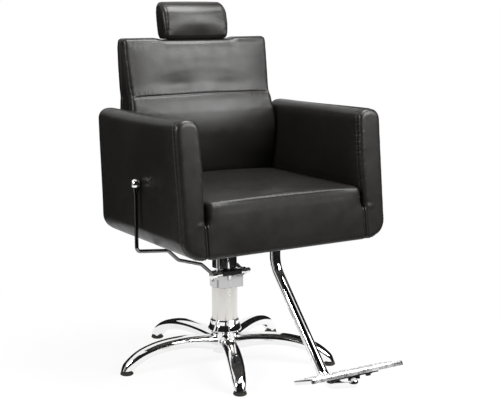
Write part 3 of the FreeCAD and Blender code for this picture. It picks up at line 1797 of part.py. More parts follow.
def board_room():
    """The board's place in the cushions, open to the rear."""
    gap = float(S.soft_gap)
    low = back_low_level + S.back_board_cover * 0.5
    high = back_top_level - S.back_board_cover
    return Part.makeBox(
        float(S.back_board_half_width + S.soft_gap) * 2,
        float(S.back_board_thickness) * 2,
        float(high - low) + 2 * gap,
        point(-S.back_board_half_width - S.soft_gap, S.back_board_front - S.soft_gap, low - S.soft_gap),
    )


def rear_section(height, half_width, front, rear, edge):
    lean = math.sqrt(0.5)

    def at(x, y):
        return FreeCAD.Vector(x, y, height)

    moves = [
        (at(half_width, front),),
        (at(half_width, rear - edge),),
        (at(half_width - edge + edge * lean, rear - edge + edge * lean), at(half_width - edge, rear)),
        (at(-half_width + edge, rear),),
        (at(-half_width + edge - edge * lean, rear - edge + edge * lean), at(-half_width, rear - edge)),
    ]
    return closed_wire(at(-half_width, front), moves)


# Height share, half width drawn in as a share of the edge radius, thickness as a share of the whole.
REAR_STATION_SHARES = (
    (0.0, 0.8, 0.45),
    (0.02, 0.3, 0.62),
    (0.1, 0.1, 0.66),
    (0.3, 0.6, 0.66),
    (0.5, 1.85, 0.7),
    (0.62, 2.2, 0.8),
    (0.8, 1.85, 0.98),
    (0.95, 1.65, 1.0),
    (0.99, 1.75, 0.8),
    (1.0, 2.2, 0.55),
)


def make_back_cushions():
    gap = float(S.soft_gap)
    low = float(back_low_level)
    seam = float(back_seam_level)
    top = float(back_top_level)
    lower = back_form(low, seam - gap / 2, float(S.back_low_half_width), LOWER_STATION_SHARES)
    upper = back_form(seam + gap / 2, top, float(S.back_half_width), UPPER_STATION_SHARES)
    keep(feature("back_lower_cushion", lower.cut(board_room())), "back_lower_cushion")
    keep(feature("back_upper_cushion", upper.cut(board_room())), "back_upper_cushion")

    front = float(leaf_front()) + gap
    whole = float(S.back_rear) - front
    edge = float(S.back_edge_radius)
    sections = []
    for height_share, drawn, thick_share in REAR_STATION_SHARES:
        height = low + gap + (top - low - 2 * gap) * height_share
        half = float(S.back_low_half_width) - edge * drawn
        rear = front + whole * thick_share
        sections.append(rear_section(height, half, front, rear, edge * REAR_EDGE_SHARE))
    panel = strip_loft(sections)
    for room in rear_rooms():
        panel = panel.cut(room)
    keep(feature("back_rear_panel", panel), "back_rear_panel")


REAR_EDGE_SHARE = 0.6


def rear_rooms():
    """Rooms in the rear panel for the hinge leaves, the crank and the headrest's guide and stem."""
    gap = float(S.soft_gap)
    low = float(back_low_level + S.back_board_cover * 0.5)
    front = float(leaf_front())
    height = float(S.leaf_height) + gap
    web_inner = float(S.hinge_x - S.hinge_gap - S.hinge_plate)
    plate = float(S.hinge_plate)
    spans = []
    for side in (-1, 1):
        first = side * (web_inner + plate - float(S.leaf_width) - gap)
        last = side * (web_inner + plate + gap)
        spans.append(sorted((first, last)))
    crank = float(crank_start())
    spans.append([crank + plate - float(S.leaf_width) - gap, crank + plate + gap])
    rooms = []
    for first, last in spans:
        rooms.append(Part.makeBox(
            last - first,
            float(S.leaf_web_depth) * WEB_ROOM_SHARE + gap,
            height + (low - float(back_low_level)) + gap,
            FreeCAD.Vector(first, front, float(back_low_level) - gap),
        ))
    guide_half = float(guide_half_width()) + gap
    rooms.append(Part.makeBox(
        guide_half * 2,
        float(guide_depth()) + gap,
        float(back_top_level - stem_low_level) + 2 * gap + float(S.soft_gap),
        FreeCAD.Vector(-guide_half, front, float(stem_low_level) - gap),
    ))
    return rooms


# Headrest


def guide_half_width():
    return S.stem_half_width + S.liner_side + S.guide_wall


def guide_depth():
    return (S.guide_wall + S.liner_face + S.stem_gap) * 2 + S.stem_thickness


def stem_middle_y():
    return leaf_front() + guide_depth() * 0.5


def make_headrest_guide():
    front = leaf_front()
    low = guide_low_level
    high = back_top_level - S.guide_cover
    rear = front + guide_depth()
    outer = box("guide_blank", (-guide_half_width(), front, low), (guide_half_width(), rear, high))
    wall = S.guide_wall
    inner_low = (-guide_half_width() + wall, front + wall, low)
    inner_high = (guide_half_width() - wall, front + guide_depth() - wall, high)
    keep(cut("headrest_guide", outer, [box("guide_room", inner_low, inner_high)]), "headrest_guide")
    liner = box("liner_blank", inner_low, inner_high)
    gap = S.stem_gap
    half = S.stem_half_width + gap
    thick = S.stem_thickness * 0.5 + gap
    middle = stem_middle_y()
    room = box("liner_room", (-half, middle - thick, low), (half, middle + thick, high))
    keep(cut("guide_liner", liner, [room]), "guide_liner")


def make_headrest():
    middle = stem_middle_y()
    half_thick = S.stem_thickness * 0.5
    keep(box(
        "headrest_stem",
        (-S.stem_half_width, middle - half_thick, stem_low_level),
        (S.stem_half_width, middle + half_thick, stem_high_level),
    ), "headrest_stem")
    core_back = middle - half_thick
    core_front = core_back - S.head_core_thickness
    core = new_body("headrest_core")
    wide = S.head_core_half_width
    face = outline(core, "core_outline", "XZ_Plane", [
        (-wide, core_low_level), (wide, core_low_level), (wide, core_high_level), (-wide, core_high_level)
    ], lift=-core_back)
    pad(core, face, S.head_core_thickness)
    keep(core, "headrest_core")

    half = float(S.head_pad_half_width)
    bulge = float(S.head_pad_bulge)
    sections = []
    for side_share, bulge_share, size_share in HEADREST_STATION_SHARES:
        sections.append(headrest_section(half * side_share + bulge * bulge_share, size_share))
    form = strip_loft(sections)
    gap = float(S.soft_gap)
    stem_room = Part.makeBox(
        float(S.stem_half_width) * 2 + 2 * gap,
        float(S.stem_thickness) + 2 * gap,
        float(stem_high_level - back_top_level) + gap,
        point(-S.stem_half_width - S.soft_gap, middle - half_thick - S.soft_gap, back_top_level),
    )
    core_room = Part.makeBox(
        float(wide) * 2 + 2 * gap,
        float(S.head_core_thickness) + 2 * gap,
        float(core_high_level - core_low_level) + 2 * gap,
        point(-wide - S.soft_gap, core_front - S.soft_gap, core_low_level - S.soft_gap),
    )
    keep(feature("headrest_pad", form.cut(stem_room.fuse(core_room))), "headrest_pad")


# Across: share of the half width, share of the end bulge, size of the section there.
HEADREST_STATION_SHARES = (
    (-1.0, -1.0, 0.7),
    (-1.0, -0.8, 0.88),
    (-1.0, -0.35, 0.97),
    (-1.0, 0.2, 0.99),
    (-0.6, 0.0, 1.0),
    (0.6, 0.0, 1.0),
    (1.0, -0.2, 0.99),
    (1.0, 0.35, 0.97),
    (1.0, 0.8, 0.88),
    (1.0, 1.0, 0.7),
)

# The leaning D of the headrest in Y and Z, as shares of its depth and height from its middle.
HEADREST_OUTLINE_SHARES = (
    ((-0.42, -0.5),),
    ((0.33, -0.5),),
    ((0.49, -0.13), (0.57, 0.22)),
    ((0.49, 0.44), (0.17, 0.5)),
    ((-0.17, 0.37), (-0.36, 0.1)),
    ((-0.5, -0.16), (-0.56, -0.42)),
)


def headrest_section(across, size):
    depth = float(S.head_pad_depth)
    height = float(S.head_pad_height)
    middle_y = float(S.head_pad_y)
    middle_z = float(back_top_level + S.soft_gap) + height / 2

    def at(share):
        return FreeCAD.Vector(across, middle_y + share[0] * depth * size, middle_z + share[1] * height * size)

    shares = HEADREST_OUTLINE_SHARES
    start = at(shares[0][0])
    moves = [tuple(at(share) for share in step) for step in shares[1:]]
    return closed_wire(start, moves)


def build():
    make_star_base()
    make_glides()
    make_collar_ring()
    make_bearings()
    make_pump_cylinder()
    make_column_shroud()
    make_pump_head()
    make_clamp_screw()
    make_gland_nut()
    make_shaft_housing()
    make_lever()
    make_ram()
    make_neck_sleeve()
    make_mounting_plate()
    make_seat_board()
    make_arms()
    make_seat_cushion()
    make_footrest_tube()
    make_end_cap()
    make_footrest_socket()
    make_crossbar()
    make_foot_plate()
    make_seat_hinges()
    make_hinge_pins()
    make_back_hinges()
    make_back_crank()
    make_gas_spring()
    make_back_board()
    make_back_cushions()
    make_headrest_guide()
    make_headrest()


def check_and_write():
    """Stops on any failed object, then writes each sub-part to its own file."""
    DOC.recompute()
    for thing in DOC.Objects:
        if "Invalid" in thing.State or "Error" in thing.State:
            raise RuntimeError(f"{thing.Name} failed: {thing.State}")
    for piece in PIECES:
        if piece.Shape.isNull() or not piece.Shape.isValid():
            raise RuntimeError(f"{piece.Label} has no valid shape")
    os.makedirs("parts", exist_ok=True)
    for piece in PIECES:
        piece.Shape.exportStep(f"parts/{piece.Label}.step")
    print(len(PIECES), "sub-parts written")


build()
check_and_write()
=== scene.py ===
import math

import bpy
import numpy as np
from bpy.props import FloatProperty, FloatVectorProperty, IntProperty, PointerProperty
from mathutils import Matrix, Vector


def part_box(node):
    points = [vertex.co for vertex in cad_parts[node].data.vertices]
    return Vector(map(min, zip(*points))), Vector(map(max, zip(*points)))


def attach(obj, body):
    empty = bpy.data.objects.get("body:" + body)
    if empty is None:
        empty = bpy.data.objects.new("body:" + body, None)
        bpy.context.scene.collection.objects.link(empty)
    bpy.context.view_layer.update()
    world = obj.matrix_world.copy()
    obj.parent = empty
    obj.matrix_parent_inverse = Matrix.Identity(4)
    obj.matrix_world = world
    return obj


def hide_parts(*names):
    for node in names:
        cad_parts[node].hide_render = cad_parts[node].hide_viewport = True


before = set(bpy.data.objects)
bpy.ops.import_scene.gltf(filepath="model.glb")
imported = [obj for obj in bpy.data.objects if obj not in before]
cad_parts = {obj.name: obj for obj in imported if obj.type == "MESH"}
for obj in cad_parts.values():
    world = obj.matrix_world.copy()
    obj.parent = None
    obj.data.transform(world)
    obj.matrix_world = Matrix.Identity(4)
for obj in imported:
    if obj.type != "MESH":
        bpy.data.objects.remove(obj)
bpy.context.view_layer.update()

bl_info = {
    "name": "Threading chair",
    "version": (1, 0, 0),
    "blender": (4, 5, 0),
    "location": "3D View > Sidebar > Chair",
    "description": "Upholstery, polished metal and fastenings of a salon chair, over its engineering model",
    "category": "Add Mesh",
}

# Metres throughout, with points given in millimetres times MM. The origin is on the floor at the pump's
# axis, the sitter faces -Y and +X is the sitter's left.

MM = 0.001


def corners(node):
    """Lowest and highest corner of a node of the engineering model, as arrays."""
    low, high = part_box(node)
    return np.array(low), np.array(high)


# Sizes and colours


def length_setting(name, description, default):
    return FloatProperty(
        name=name, description=description, default=default, unit="LENGTH", subtype="DISTANCE"
    )


def colour_setting(name, description, default):
    return FloatVectorProperty(
        name=name, description=description, default=default, subtype="COLOR", min=0.0, max=1.0
    )


class ChairSizes(bpy.types.PropertyGroup):
    grain_scale: FloatProperty(
        name="Leather grain",
        description="Number of grain cells along one metre of leather",
        default=620.0,
    )
    filling: length_setting("Filling", "How far the stuffing may push the leather outwards", 5.5 * MM)
    pressure: FloatProperty(
        name="Stuffing pressure",
        description="Pressure of the stuffing while the covers are blown up",
        default=4.0,
    )
    stitch_pitch: length_setting("Stitch pitch", "Distance from one stitch to the next", 5.5 * MM)
    stitch_radius: length_setting("Thread radius", "Half thickness of the sewing thread", 0.45 * MM)
    ring_points: IntProperty(
        name="Points round a leg",
        description="Points round the section of each leg of the base",
        default=48,
        min=12,
    )


class ChairColours(bpy.types.PropertyGroup):
    leather: colour_setting("Leather", "Colour of the covers", (0.0094, 0.0087, 0.0081))
    thread: colour_setting("Thread", "Colour of the sewing thread", (0.040, 0.038, 0.036))
    chrome: colour_setting("Chrome", "Colour of the polished plating", (0.88, 0.88, 0.88))
    satin: colour_setting("Satin metal", "Colour of the brushed column", (0.72, 0.7, 0.67))
    rubber: colour_setting("Rubber", "Colour of the glides", (0.018, 0.015, 0.013))


def sizes():
    return bpy.context.scene.threading_chair_sizes


def colours():
    return bpy.context.scene.threading_chair_colours


# Surfaces


def smooth_line(points, count):
    """Cubic Hermite curve through points: position over chord length, with slopes from the neighbours'
    difference."""
    where = lengths_along(points[:, :2])
    slopes = np.gradient(points, where, axis=0)
    at = np.linspace(0.0, where[-1], count)
    k = np.clip(np.searchsorted(where, at, side="right") - 1, 0, len(points) - 2)
    span = (where[k + 1] - where[k])[:, None]
    t = (at - where[k])[:, None] / span
    return (
        (2 * t**3 - 3 * t**2 + 1) * points[k]
        + (t**3 - 2 * t**2 + t) * span * slopes[k]
        + (3 * t**2 - 2 * t**3) * points[k + 1]
        + (t**3 - t**2) * span * slopes[k + 1]
    )


def lengths_along(points):
    """Length along a broken line from its start to each of its points."""
    steps = np.linalg.norm(np.diff(points, axis=0), axis=1)
    return np.concatenate([[0.0], np.cumsum(steps)])


def resampled(points, count):
    """Points at even steps of length along a broken line."""
    where = lengths_along(points)
    at = np.linspace(0.0, where[-1], count)
    return np.stack([np.interp(at, where, points[:, axis]) for axis in range(points.shape[1])], axis=1)


def rounded_route(spots, radii, step):
    """Broken line with its corners turned into arcs: each arc touches both runs, tan(half turn) * radius from
    the corner, and is sampled by angle."""
    spots = np.asarray(spots, float)
    made = [spots[:1]]
    for before, corner, after, radius in zip(spots[:-2], spots[1:-1], spots[2:], radii):
        into = (corner - before) / np.linalg.norm(corner - before)
        out = (after - corner) / np.linalg.norm(after - corner)
        turn = math.acos(float(np.clip(into @ out, -1, 1)))
        start = corner - into * radius * math.tan(turn / 2)
        side = out - into * (into @ out)
        side /= np.linalg.norm(side)
        angles = np.linspace(0.0, turn, max(6, int(radius * turn / step)))[:, None]
        made.append(start + into * radius * np.sin(angles) + side * radius * (1 - np.cos(angles)))
    made.append(spots[-1:])
    return np.concatenate(made)


def tube_rings(route, radius, plane_normal, count):
    """Circle carried along a plane route: centre + radius * (cos a * plane normal + sin a * normal in the
    plane)."""
    along = np.gradient(route, axis=0)
    along /= np.linalg.norm(along, axis=1)[:, None]
    across = np.asarray(plane_normal, float)
    up = np.cross(along, across)
    angle = np.linspace(0.0, 2 * math.pi, count, endpoint=False)
    radius = np.broadcast_to(radius, (len(route),))
    spread = np.cos(angle)[None, :, None] * across + np.sin(angle)[None, :, None] * up[:, None, :]
    return route[:, None, :] + radius[:, None, None] * spread


def turned_rings(profile, count):
    """Surface of revolution about Z: (r, z) becomes (r cos a, r sin a, z)."""
    profile = np.asarray(profile, float)
    angle = np.linspace(0.0, 2 * math.pi, count, endpoint=False)
    x = profile[:, :1] * np.cos(angle)
    y = profile[:, :1] * np.sin(angle)
    z = np.broadcast_to(profile[:, 1:], x.shape)
    return np.stack([x, y, z], axis=2)


def skin(rings):
    """Closed skin over a stack of rings: quads from ring to ring, and a fan to a pole at each end."""
    rows, columns = rings.shape[:2]
    points = np.concatenate([rings.reshape(-1, 3), rings[:1].mean(axis=1), rings[-1:].mean(axis=1)])
    row, column = np.meshgrid(np.arange(rows - 1), np.arange(columns), indexing="ij")
    here = row * columns + column
    beside = row * columns + (column + 1) % columns
    quads = np.stack([here, beside, beside + columns, here + columns], axis=-1).reshape(-1, 4)
    column = np.arange(columns)
    following = (column + 1) % columns
    first = np.full(columns, rows * columns)
    last = (rows - 1) * columns
    foot = np.stack([following, column, first], axis=1)
    head = np.stack([last + column, last + following, first + 1], axis=1)
    return points, [quads, foot, head]


def volume_of(points, faces):
    """Six times the signed volume within the faces: the sum of the triple products of their triangles."""
    total = 0.0
    for group in faces:
        for second in range(1, group.shape[1] - 1):
            a, b, c = points[group[:, 0]], points[group[:, second]], points[group[:, second + 1]]
            total += float(np.einsum("ij,ij->i", a, np.cross(b, c)).sum())
    return total


def placed(name, data):
    """A new object in the scene."""
    thing = bpy.data.objects.new(name, data)
    bpy.context.scene.collection.objects.link(thing)
    return thing


def mesh_piece(name, shells, finish, smooth_angle=40.0):
    """One object from closed shells, each (points, face groups), with its faces outwards and its edges shaded
    by their angle."""
    all_points, all_faces, offset = [], [], 0
    for points, groups in shells:
        if volume_of(points, groups) < 0:
            groups = [group[:, ::-1] for group in groups]
        all_points.append(points)
        all_faces += [(group + offset).tolist() for group in groups]
        offset += len(points)
    mesh = bpy.data.meshes.new(name)
    mesh.from_pydata(np.concatenate(all_points), [], [face for group in all_faces for face in group])
    mesh.materials.append(finish)
    mesh.update()
    mesh.shade_smooth()
    mesh.set_sharp_from_angle(angle=math.radians(smooth_angle))
    return placed(name, mesh)


def fitted(piece, body, slot_name, *nodes):
    """The piece rides on a body and stands for the nodes, which are hidden. The slot name is not used."""
    if nodes:
        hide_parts(*nodes)
    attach(piece, body)


# Finishes


def added(tree, kind, inputs=None, **settings):
    """A new node of a tree. An input is joined to an output, or takes a plain value."""
    node = tree.nodes.new(kind)
    for key, value in settings.items():
        setattr(node, key, value)
    for key, value in (inputs or {}).items():
        if isinstance(value, bpy.types.NodeSocket):
            tree.links.new(value, node.inputs[key])
        else:
            node.inputs[key].default_value = value
    return node


def scaled(colour, share):
    return tuple(min(1.0, part * share) for part in colour)


class Finish:
    """A material with short calls for its nodes."""

    def __init__(self, name):
        self.material = bpy.data.materials.new(name)
        self.material.use_nodes = True
        self.tree = self.material.node_tree
        self.shader = self.tree.nodes["Principled BSDF"]
        self.place = self.add("ShaderNodeTexCoord").outputs["Object"]

    def add(self, kind, inputs=None, **settings):
        return added(self.tree, kind, inputs, **settings)

    def join(self, output, name):
        self.tree.links.new(output, self.shader.inputs[name])

    def noise(self, scale, detail, roughness=0.5, stretch=None):
        place = self.place
        if stretch:
            place = self.add("ShaderNodeMapping", {"Vector": place, "Scale": stretch}).outputs["Vector"]
        values = {"Vector": place, "Scale": scale, "Detail": detail, "Roughness": roughness}
        return self.add("ShaderNodeTexNoise", values).outputs["Fac"]

    def cells(self, scale, feature="DISTANCE_TO_EDGE"):
        values = {"Vector": self.place, "Scale": scale}
        return self.add("ShaderNodeTexVoronoi", values, feature=feature).outputs["Distance"]

    def bands(self, direction, scale, distortion=0.0):
        values = {"Vector": self.place, "Scale": scale, "Distortion": distortion}
        wave = self.add("ShaderNodeTexWave", values, wave_type="BANDS", bands_direction=direction)
        return wave.outputs["Fac"]

    def between(self, factor, low, high, start=0.3, end=0.7):
        """A number that goes from low to high while the factor goes from start to end."""
        values = {"Value": factor, "From Min": start, "From Max": end, "To Min": low, "To Max": high}
        return self.add("ShaderNodeMapRange", values).outputs["Result"]

    def sum(self, first, second, share):
        """first + second * share."""
        values = {0: second, 1: share, 2: first}
        return self.add("ShaderNodeMath", values, operation="MULTIPLY_ADD").outputs[0]

    def blend(self, factor, first, second):
        """The colour, from first to second."""
        values = {0: factor, 6: (*first, 1.0), 7: (*second, 1.0)}
        self.join(self.add("ShaderNodeMix", values, data_type="RGBA").outputs[2], "Base Color")

    def colour(self, factor, base, low, high):
        """The base colour, times a number that goes from low to high with the factor."""
        self.blend(factor, scaled(base, low), scaled(base, high))

    def roughness(self, *values):
        """The number between low and high, in the order that between() takes them."""
        self.join(self.between(*values), "Roughness")

    def relief(self, height, strength, depth):
        values = {"Height": height, "Strength": strength, "Distance": depth}
        self.join(self.add("ShaderNodeBump", values).outputs["Normal"], "Normal")

    def made(self, **constants):
        """The material, with these constants in its shader."""
        for key, value in constants.items():
            self.shader.inputs[key.replace("_", " ")].default_value = value
        return self.material


def leather_finish():
    """Fine pebble grain from cell borders over slow unevenness, with a gloss that varies in patches."""
    finish = Finish("black_leather")
    cell = finish.cells(sizes().grain_scale)
    fine = finish.noise(900.0, 2.0)
    slow = finish.noise(7.0, 2.0)
    patch = finish.noise(34.0, 3.0)
    finish.colour(finish.between(slow, 0.0, 1.0), colours().leather, 0.85, 1.2)
    finish.roughness(patch, 0.29, 0.38)
    height = finish.sum(finish.between(cell, 0.0, 1.0, 0.0, 0.18), fine, 0.4)
    finish.relief(finish.sum(height, patch, 1.2), 0.3, 0.1 * MM)
    return finish.made(Specular_IOR_Level=0.26, Coat_Weight=0.04, Coat_Roughness=0.3)


def chrome_finish(name, share=1.0, gloss=0.045):
    """Bright plating with faint wiping marks in its gloss and a very slight waviness. A share below one
    darkens the plating's colour, which is painted shade standing in for darker reflections.
    """
    finish = Finish(name)
    smear = finish.noise(26.0, 4.0, 0.6)
    wave = finish.noise(16.0, 1.0)
    finish.colour(smear, scaled(colours().chrome, share), 0.96, 1.04)
    finish.roughness(smear, gloss * 0.7, gloss * 1.6, 0.35, 0.7)
    finish.relief(wave, 0.05, 0.3 * MM)
    return finish.made(Metallic=1.0)


def satin_finish():
    """Brushed metal: fine scratches round the column, noise squeezed along its axis."""
    finish = Finish("satin_column")
    brush = finish.noise(30.0, 3.0, 0.5, stretch=(1.0, 1.0, 20.0))
    finish.colour(brush, colours().satin, 0.98, 1.02)
    finish.roughness(brush, 0.2, 0.25)
    finish.relief(brush, 0.02, 0.05 * MM)
    return finish.made(Metallic=0.9, Specular_IOR_Level=0.5)


def tread_finish():
    """Pressed bright sheet, worn dull in patches along its ribs."""
    finish = Finish("tread_sheet")
    wear = finish.noise(70.0, 3.0, 0.6, stretch=(0.2, 1.0, 1.0))
    finish.colour(wear, scaled(colours().chrome, 0.92), 0.85, 1.05)
    finish.roughness(wear, 0.16, 0.3)
    finish.relief(wear, 0.1, 0.1 * MM)
    return finish.made(Metallic=1.0)


def rubber_finish():
    """Moulded rubber: fine specks in colour, gloss and relief."""
    finish = Finish("black_rubber")
    speck = finish.noise(420.0, 3.0)
    finish.colour(speck, colours().rubber, 0.7, 1.5)
    finish.roughness(speck, 0.55, 0.75)
    finish.relief(speck, 0.3, 0.15 * MM)
    return finish.made(Specular_IOR_Level=0.3)


def coated_finish(name, base, gloss=0.42):
    """Powder coat: orange peel relief with small specks."""
    finish = Finish(name)
    peel = finish.cells(520.0, "F1")
    speck = finish.noise(260.0, 2.0)
    finish.colour(speck, base, 0.8, 1.3)
    finish.roughness(speck, gloss * 0.85, gloss * 1.2)
    finish.relief(peel, 0.2, 0.08 * MM)
    return finish.made(Specular_IOR_Level=0.4)


def machined_finish(name, base, gloss):
    """Turned or rolled metal: tool lines across Z and a mottled gloss."""
    finish = Finish(name)
    lines = finish.noise(90.0, 3.0, 0.6, stretch=(1.0, 1.0, 14.0))
    mottle = finish.noise(45.0, 3.0)
    finish.colour(mottle, base, 0.85, 1.12)
    finish.roughness(lines, gloss * 0.8, gloss * 1.3)
    finish.relief(lines, 0.1, 0.05 * MM)
    return finish.made(Metallic=1.0)


def plywood_finish():
    """Layered board stained black: bands by height for the plies, long fibres along X."""
    finish = Finish("stained_plywood")
    fibre = finish.noise(40.0, 4.0, 0.6, stretch=(0.12, 1.0, 1.0))
    mixed = finish.sum(fibre, finish.bands("Z", 90.0, 1.2), 0.3)
    finish.blend(mixed, (0.012, 0.010, 0.008), (0.034, 0.029, 0.024))
    finish.roughness(fibre, 0.55, 0.75, 0.0, 1.0)
    finish.relief(fibre, 0.3, 0.2 * MM)
    return finish.made()


def nylon_finish():
    """Moulded liner with a cloudy skin."""
    finish = Finish("nylon_liner")
    cloud = finish.noise(120.0, 3.0)
    finish.blend(cloud, (0.11, 0.11, 0.11), (0.15, 0.15, 0.15))
    finish.roughness(cloud, 0.35, 0.5, 0.0, 1.0)
    finish.relief(cloud, 0.1, 0.1 * MM)
    return finish.made(Subsurface_Weight=0.05)


def thread_finish():
    """Twisted thread: a wave along the stitches gives the twist."""
    finish = Finish("sewing_thread")
    twist = finish.bands("DIAGONAL", 700.0)
    finish.colour(twist, colours().thread, 0.7, 1.3)
    finish.roughness(twist, 0.5, 0.65, 0.0, 1.0)
    finish.relief(twist, 0.4, 0.1 * MM)
    return finish.made(Sheen_Weight=0.2)


FINISHES = {}


def finish_of(name):
    """Each finish is made once, when it is first asked for."""
    makers = {
        "leather": (leather_finish,),
        "thread": (thread_finish,),
        "chrome": (chrome_finish, "bright_chrome"),
        # Pump head: chrome darkened to grey, painted shade for the darker surroundings it reflects.
        "grey_chrome": (chrome_finish, "grey_chrome", 0.6, 0.07),
        # Neck sleeve: chrome darkened by half, painted shade for the black seat it reflects.
        "chrome_with_painted_dark_shade": (chrome_finish, "shaded_chrome", 0.5, 0.07),
        # Lever rod and knob ferrule: chrome darkened nearly to black, painted shade for the dark reflections
        # along them.
        "black_chrome": (chrome_finish, "black_chrome", 0.2, 0.08),
        "soft_chrome": (chrome_finish, "soft_chrome", 1.0, 0.3),
        "satin": (satin_finish,),
        "tread": (tread_finish,),
        "rubber": (rubber_finish,),
        "black_coat": (coated_finish, "black_powder_coat", (0.016, 0.016, 0.017)),
        "black_plastic": (coated_finish, "black_plastic", (0.008, 0.008, 0.009), 0.16),
        "steel": (machined_finish, "machined_steel", (0.5, 0.5, 0.51), 0.28),
        "bronze": (machined_finish, "bronze", (0.5, 0.32, 0.14), 0.32),
        "zinc": (machined_finish, "zinc_plating", (0.6, 0.6, 0.62), 0.2),
        "plywood": (plywood_finish,),
        "nylon": (nylon_finish,),
    }
    if name not in FINISHES:
        maker, *values = makers[name]
        FINISHES[name] = maker(*values)
    return FINISHES[name]


# Soft covers

# Below this length of the mean of the normals round a point, the skin turns sharply there and is held.
EDGE_FLATNESS = 0.965
EDGE_FADE = 0.03
# Room inwards as a share of the room outwards.
INWARD_SHARE = 0.25
CLOTH_FRAMES = 20
# Length of a stitch as a share of the pitch.
STITCH_SHARE = 0.62
PAIRS_AT_ONCE = 2_000_000


def values_of(items, name, width=3, kind=float):
    """One named value of each item of a mesh, as rows of that width."""
    values = np.empty(len(items) * width, kind)
    items.foreach_get(name, values)
    return values.reshape(-1, width)


def points_of(mesh):
    return values_of(mesh.vertices, "co")


def normals_of(mesh):
    return values_of(mesh.vertex_normals, "vector")


def set_points(mesh, points):
    mesh.vertices.foreach_set("co", points.reshape(-1))
    mesh.update()


def shell_of(node):
    """Outer shell of a node as welded points and triangles: equal points are merged, and of the separate
    shells that the edges join, the one with the largest box is kept."""
    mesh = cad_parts[node].data
    mesh.calc_loop_triangles()
    points, weld = np.unique(np.round(points_of(mesh), 6), axis=0, return_inverse=True)
    faces = weld.reshape(-1)[values_of(mesh.loop_triangles, "vertices", 3, np.int32)]
    faces = faces[(faces != np.roll(faces, 1, axis=1)).all(axis=1)]
    label = np.arange(len(points))
    while True:
        low = label[faces].min(axis=1)
        fresh = label.copy()
        np.minimum.at(fresh, faces, low[:, None])
        fresh = fresh[fresh]
        if (fresh == label).all():
            break
        label = fresh
    names = np.unique(label)
    spread = [np.ptp(points[label == name], axis=0).sum() for name in names]
    kept = faces[label[faces[:, 0]] == names[int(np.argmax(spread))]]
    used, kept = np.unique(kept, return_inverse=True)
    return points[used], kept.reshape(-1, 3)


def applied(piece):
    """Gives the piece its mesh with the modifiers applied."""
    graph = bpy.context.evaluated_depsgraph_get()
    mesh = bpy.data.meshes.new_from_object(piece.evaluated_get(graph))
    piece.modifiers.clear()
    old = piece.data
    piece.data = mesh
    bpy.data.meshes.remove(old)


def evened(values, mesh, rounds, *shares):
    """Moves the values of each point towards the mean of its edge neighbours', by each share in turn. A share
    below zero moves them away again, which keeps the size of a form."""
    a, b = values_of(mesh.edges, "vertices", 2, np.int32).T
    size = len(values)
    count = np.bincount(a, minlength=size) + np.bincount(b, minlength=size)
    for share in shares * rounds:
        total = [np.bincount(a, column[b], size) + np.bincount(b, column[a], size) for column in values.T]
        values = values + share * (np.stack(total, axis=1) / count[:, None] - values)
    return values


def box_distance(points, node):
    """Distance of each point from a node's box, zero inside it."""
    low, high = corners(node)
    outside = np.maximum(np.maximum(low - points, points - high), 0.0)
    return np.linalg.norm(outside, axis=1)


def cover_over(name, nodes, grid):
    """One even skin over the outer shells of the nodes, which grow together where they touch."""
    shells = [shell_of(node) for node in nodes]
    starts = np.cumsum([0] + [len(points) for points, faces in shells])
    points = np.concatenate([points for points, faces in shells])
    faces = np.concatenate([faces + start for (points, faces), start in zip(shells, starts)])
    mesh = bpy.data.meshes.new(name)
    mesh.from_pydata(points, [], faces.tolist())
    mesh.update()
    piece = placed(name, mesh)
    even = piece.modifiers.new("Even", "REMESH")
    even.mode = "VOXEL"
    even.voxel_size = grid
    applied(piece)
    set_points(piece.data, evened(points_of(piece.data), piece.data, 6, 0.5, -0.53))
    return piece


def stuffed(name, nodes, grid, share, hard, soft):
    """A filled cover, with a grid in millimetres and a share of the full filling. Its panels are blown up by
    cloth pressure, while their sewn edges, where the skin turns sharply, and the places against hard pieces
    are held. A point moves along its own normal only. Outwards it comes to room * tanh(way / room), and
    inwards to a share of that, with the way counted in the smaller room. The room shrinks near the
    neighbours."""
    piece = cover_over(name, nodes, grid * MM)
    mesh = piece.data
    start = points_of(mesh)
    normals = normals_of(mesh)
    flatness = np.linalg.norm(evened(normals, mesh, 7, 0.5), axis=1)
    held = np.clip((EDGE_FLATNESS - flatness) / EDGE_FADE, 0.0, 1.0)
    limit = sizes().filling * share
    room = np.full(len(start), limit)
    for neighbour in hard:
        apart = (box_distance(start, neighbour) - 2 * MM) / (14 * MM)
        room = np.minimum(room, limit * np.clip(apart, 0.0, 1.0))
    for neighbour in soft:
        room = np.minimum(room, 0.45 * box_distance(start, neighbour))
    way = ((blown_up(piece, held) - start) * normals).sum(axis=1)
    room = np.maximum(room, 0.01 * MM)
    inwards = room * INWARD_SHARE * np.tanh(way / room / INWARD_SHARE)
    out = np.where(way > 0, room * np.tanh(way / room), inwards)
    out = evened(out[:, None], mesh, 5, 0.5)
    set_points(mesh, start + normals * out)
    finer = piece.modifiers.new("Finer", "SUBSURF")
    finer.levels = finer.render_levels = 1
    applied(piece)
    piece.data.materials.clear()
    piece.data.materials.append(finish_of("leather"))
    piece.data.shade_smooth()
    return piece


